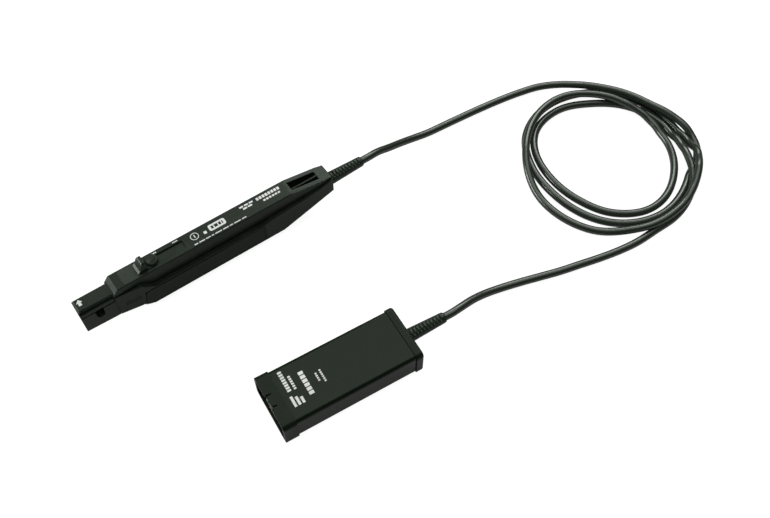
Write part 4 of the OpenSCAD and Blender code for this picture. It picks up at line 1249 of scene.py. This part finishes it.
@dataclass
class Head(Housing):
    """Shells, jaws, lever, marks and strain relief of the head. Lengths in millimetres."""

    length: float = 175.0
    top: float = 33.5
    jaw_top: float = 30.2
    gland_z: float = 18.6
    wall: float = 1.6
    boot_length: float = 27.0
    bed_half: float = 7.0
    bed_low: float = 6.0
    button_x: float = 50.3
    button_d: float = 7.8
    button_floor: float = 33.2
    button_seat: float = 34.3
    button_top: float = 35.9
    button_hub: float = 2.0
    button_hollow: float = 0.9
    button_stem: float = 2.5
    button_chamfer: float = 0.1
    button_round: float = 0.5
    button_dish: float = 0.5
    button_land: float = 1.0
    button_steps: int = 72
    pad: MarkBar = (29.7, -5.4, 39.2, 5.4, 0.4)
    # Painted shade: the place, the side's direction and the dark outline bars of the sheets that
    # stand for the shade in a shallow slot on each nose side.
    nose_recess_shade_at: Point = (30.5, 7.722, 17.4)
    nose_side_way: Pair = (-0.1045, 0.9945)
    nose_recess_shade: Sequence[MarkBar] = (
        (-4.7, 0.8, 4.7, 1.1, 0.08), (-4.7, -1.1, 4.7, -0.8, 0.08),
        (-4.7, -0.9, -4.4, 0.9, 0.08), (4.4, -0.9, 4.7, 0.9, 0.08))
    arrow: Sequence[Pair] = (
        (1.7, -1.2), (3.6, -1.2), (3.6, 1.0), (4.6, 1.0), (2.65, 3.4), (0.7, 1.0), (1.7, 1.0))
    cover_ring: tuple[float, float, float, float] = (79.8, 0.9, 2.7, 2.25)
    cover_bars: Sequence[MarkBar] = (
        (79.5, -0.3, 80.1, 2.1, 0.25), (85.6, -1.3, 87.6, 0.7, 0.3), (89.6, -1.7, 101.0, 3.1, 1.2))
    cover_rows: Sequence[MarkRow] = (
        (77.0, -5.0, 113.0, -4.3, (3, 5, 4, 2, 6, 5, 3, 6, 4), 0.8),
        (114.2, 0.6, 120.6, 1.8, (1, 1), 0.7),
        (112.6, 2.6, 122.2, 3.8, (1, 1, 1), 0.7),
        (124.5, 1.7, 141.0, 3.9, (1,) * 8, 0.55),
        (128.0, -1.0, 140.0, 0.4, (1,) * 6, 0.55),
        (52.4, 3.9, 55.4, 4.8, (1, 1, 1), 0.3),
        (66.4, 4.0, 69.8, 4.9, (1, 1, 1, 1), 0.3))
    value_row: MarkRow = (91.2, -0.4, 99.4, 1.8, (2, 3, 2, 1), 0.7)
    value_lift: float = 0.04

    def off_bed(self, edge: Edge) -> bool:
        """Whether an edge of the lower body has no end in the slider's bed.

        Args:
            edge: the edge.

        Returns:
            True outside the bed.
        """
        return not any(
            abs(vertex.co.y) < self.bed_half * MM and vertex.co.z > self.bed_low * MM
            for vertex in edge.verts
        )

    def button(self, shop: FinishShop) -> None:
        """Builds the round thumb button with its rounded rim and shallow dish.

        Args:
            shop: the finishes.
        """
        low, seat, rim = self.button_floor, self.button_seat, self.button_top
        outer, hub, stem = self.button_d / 2, self.button_hub, self.button_stem
        hollow, chamfer, soft = low + self.button_hollow, self.button_chamfer, self.button_round
        profile = [(hollow, 0.0), (hollow, hub), (low, hub), (low, stem), (seat, stem)]
        profile += [(seat, outer - chamfer), (seat + chamfer, outer), (rim - soft, outer)]
        for step in range(1, 5):
            turn = math.radians(22.5 * step)
            profile.append(
                (rim - soft + soft * math.sin(turn), outer - soft + soft * math.cos(turn))
            )
        for step in range(6):
            share = step / 5
            drop = self.button_dish * math.sin(math.pi / 2 * share)
            profile.append((rim - drop, (outer - self.button_land) * (1 - share)))
        button = Bench.lathe("thumb_button_dressed", profile, self.button_steps)
        turn_up = Matrix.Rotation(math.radians(-90.0), 4, "Y")
        Bench.place(button, head_matrix() @ Matrix.Translation((self.button_x, 0, 0)) @ turn_up)
        Bench.soften(button, 30.0)
        shop.settle(button, JAW, "lever_plastic", "thumb_button")

    def nose_side(self, side: float) -> Matrix:
        """The place of the painted recess shade on the flared side behind the nose.

        Args:
            side: -1 for the near side, 1 for the far side.

        Returns:
            The matrix, for lengths in millimetres.
        """
        along, across = self.nose_side_way
        x, y, z = self.nose_recess_shade_at
        out = Vector((along, side * across, 0.0))
        up = Vector((0.0, 0.0, 1.0))
        turn = Matrix((up.cross(out), up, out)).transposed().to_4x4()
        return head_matrix() @ Matrix.Translation((x, side * y, z)) @ turn

    def marks(self, shop: FinishShop) -> None:
        """Prints the plain marks on the cover and the jaw, lays the touch pad, and lays the
        painted shade of the shallow slots on the nose sides.

        Args:
            shop: the finishes.
        """
        cover = PrintedMarks("cover_marks", self.top, head_matrix())
        cover.ring(*self.cover_ring)
        for bar in self.cover_bars:
            cover.bar(*bar)
        for row in self.cover_rows:
            cover.row(*row)
        cover.build(shop, ROOT)
        value = PrintedMarks("cover_value_bars", self.top + self.value_lift, head_matrix())
        value.row(*self.value_row)
        value.build(shop, ROOT, "dark_print")
        pad = PrintedMarks("cover_touch_pad", self.top, head_matrix())
        pad.bar(*self.pad)
        pad.build(shop, ROOT, "pad_plastic")
        # Painted shade: near-black outlines on both nose sides, where the edges of a shallow slot
        # that is not modelled would fall in shade.
        for side, name in ((-1.0, "nose_recess_shade_near"), (1.0, "nose_recess_shade_far")):
            recess_shade_marks = PrintedMarks(name, 0.0, self.nose_side(side))
            for bar in self.nose_recess_shade:
                recess_shade_marks.bar(*bar)
            recess_shade_marks.build(shop, ROOT, "recess_shade")
        arrow = PrintedMarks("jaw_arrow", self.jaw_top, head_matrix())
        arrow.shape(self.arrow, [range(len(self.arrow))])
        arrow.build(shop, JAW)

    def build(self, shop: FinishShop) -> None:
        """Builds the head.

        Args:
            shop: the finishes.
        """
        self.shell(shop, "lower_body", "body_plastic", ROOT, 0.35, where=self.off_bed)
        self.shell(shop, "upper_cover", "cover_plastic", ROOT, 0.22)
        self.shell(shop, "grip_left", "grip_rubber", ROOT, 0.45)
        self.shell(shop, "grip_right", "grip_rubber", ROOT, 0.45)
        self.shell(shop, "nose_housing", "jaw_plastic", ROOT, 0.25)
        self.shell(shop, "jaw_slider", "jaw_plastic", JAW, 0.25)
        self.shell(shop, "thumb_lever", "lever_plastic", JAW, 0.14)
        self.button(shop)
        self.marks(shop)
        place = head_matrix() @ Matrix.Translation((self.length, 0, self.gland_z))
        self.boot(shop, "head_boot", StrainRelief(self.boot_length, self.wall), place)


@dataclass
class Pod(Housing):
    """Shell, caps, marks and strain relief of the pod. Lengths are in millimetres."""

    length: float = 91.5
    height: float = 20.5
    lip: float = 0.8
    gland_y: float = 0.6
    wall: float = 1.8
    boot_length: float = 26.5
    rear_rounding: float = 1.5
    rear_depth: float = 0.05
    rear_half: Pair = (17.0, 9.4)
    rows: Sequence[MarkRow] = (
        (12.6, 0.5, 15.0, 14.4, (1,) * 8, 0.5),
        (16.6, 0.2, 18.2, 9.4, (1,) * 6, 0.5),
        (22.8, -7.2, 25.8, 8.6, (1,) * 6, 0.6),
        (31.0, -2.2, 32.2, 3.4, (1,) * 4, 0.4),
        (34.0, -4.2, 35.2, 4.2, (1,) * 6, 0.4),
        (12.0, -9.6, 13.6, -2.6, (1,), 0.5),
        (14.6, -9.6, 16.2, -4.0, (1,), 0.5),
        (17.2, -9.6, 18.8, -5.4, (1,), 0.5))

    def rear_outline(self, edge: Edge) -> bool:
        """Whether an edge belongs to the outline of the rear cap's rear face.

        Args:
            edge: the edge.

        Returns:
            True on the outline.
        """
        to_local = pod_matrix().inverted()
        ends = [to_local @ vertex.co for vertex in edge.verts]
        half_y, half_z = self.rear_half
        return all(
            point.x > self.length - self.rear_depth
            and (abs(point.y - self.gland_y) > half_y or abs(point.z - self.height / 2) > half_z)
            for point in ends
        )

    def build(self, shop: FinishShop) -> None:
        """Builds the pod.

        Args:
            shop: the finishes.
        """
        self.shell(shop, "pod_shell", "pod_metal", ROOT, 0.15, 40.0)
        self.shell(shop, "pod_front_cap", "cap_plastic", ROOT, 0.45, 40.0)
        self.shell(shop, "pod_rear_cap", "cap_plastic", ROOT, self.rear_rounding, 30.0,
                   where=self.rear_outline, segments=4, shortest=0.0)
        marks = PrintedMarks("pod_marks", self.height - self.lip, pod_matrix())
        for row in self.rows:
            marks.row(*row)
        marks.build(shop, ROOT)
        place = pod_matrix() @ Matrix.Translation((self.length, self.gland_y, self.height / 2))
        self.boot(shop, "pod_boot", StrainRelief(self.boot_length, self.wall), place)


# ------------------------------------------------------------------ the whole probe


def dress_inner_parts(shop: FinishShop) -> None:
    """Gives each CAD node that still shows the material of its record slot.

    Args:
        shop: the finishes.
    """
    for entry in frame["record"]["subparts"]:
        if not frame["nodes"][entry["node"]].hide_render:
            shop.dress_node(entry["node"], entry["material_slot"])


def main() -> None:
    """Builds the camera, the cable and then every sub-assembly in order."""
    logging.basicConfig(level=logging.INFO, format="%(name)s: %(message)s")
    studio = Studio()
    studio.add_camera()
    shop = FinishShop()
    Cable().build(shop)
    Head().build(shop)
    Pod().build(shop)
    dress_inner_parts(shop)
    studio.add_table()
    studio.add_light()
    Bench.clear()


if __name__ == "__main__":
    main()
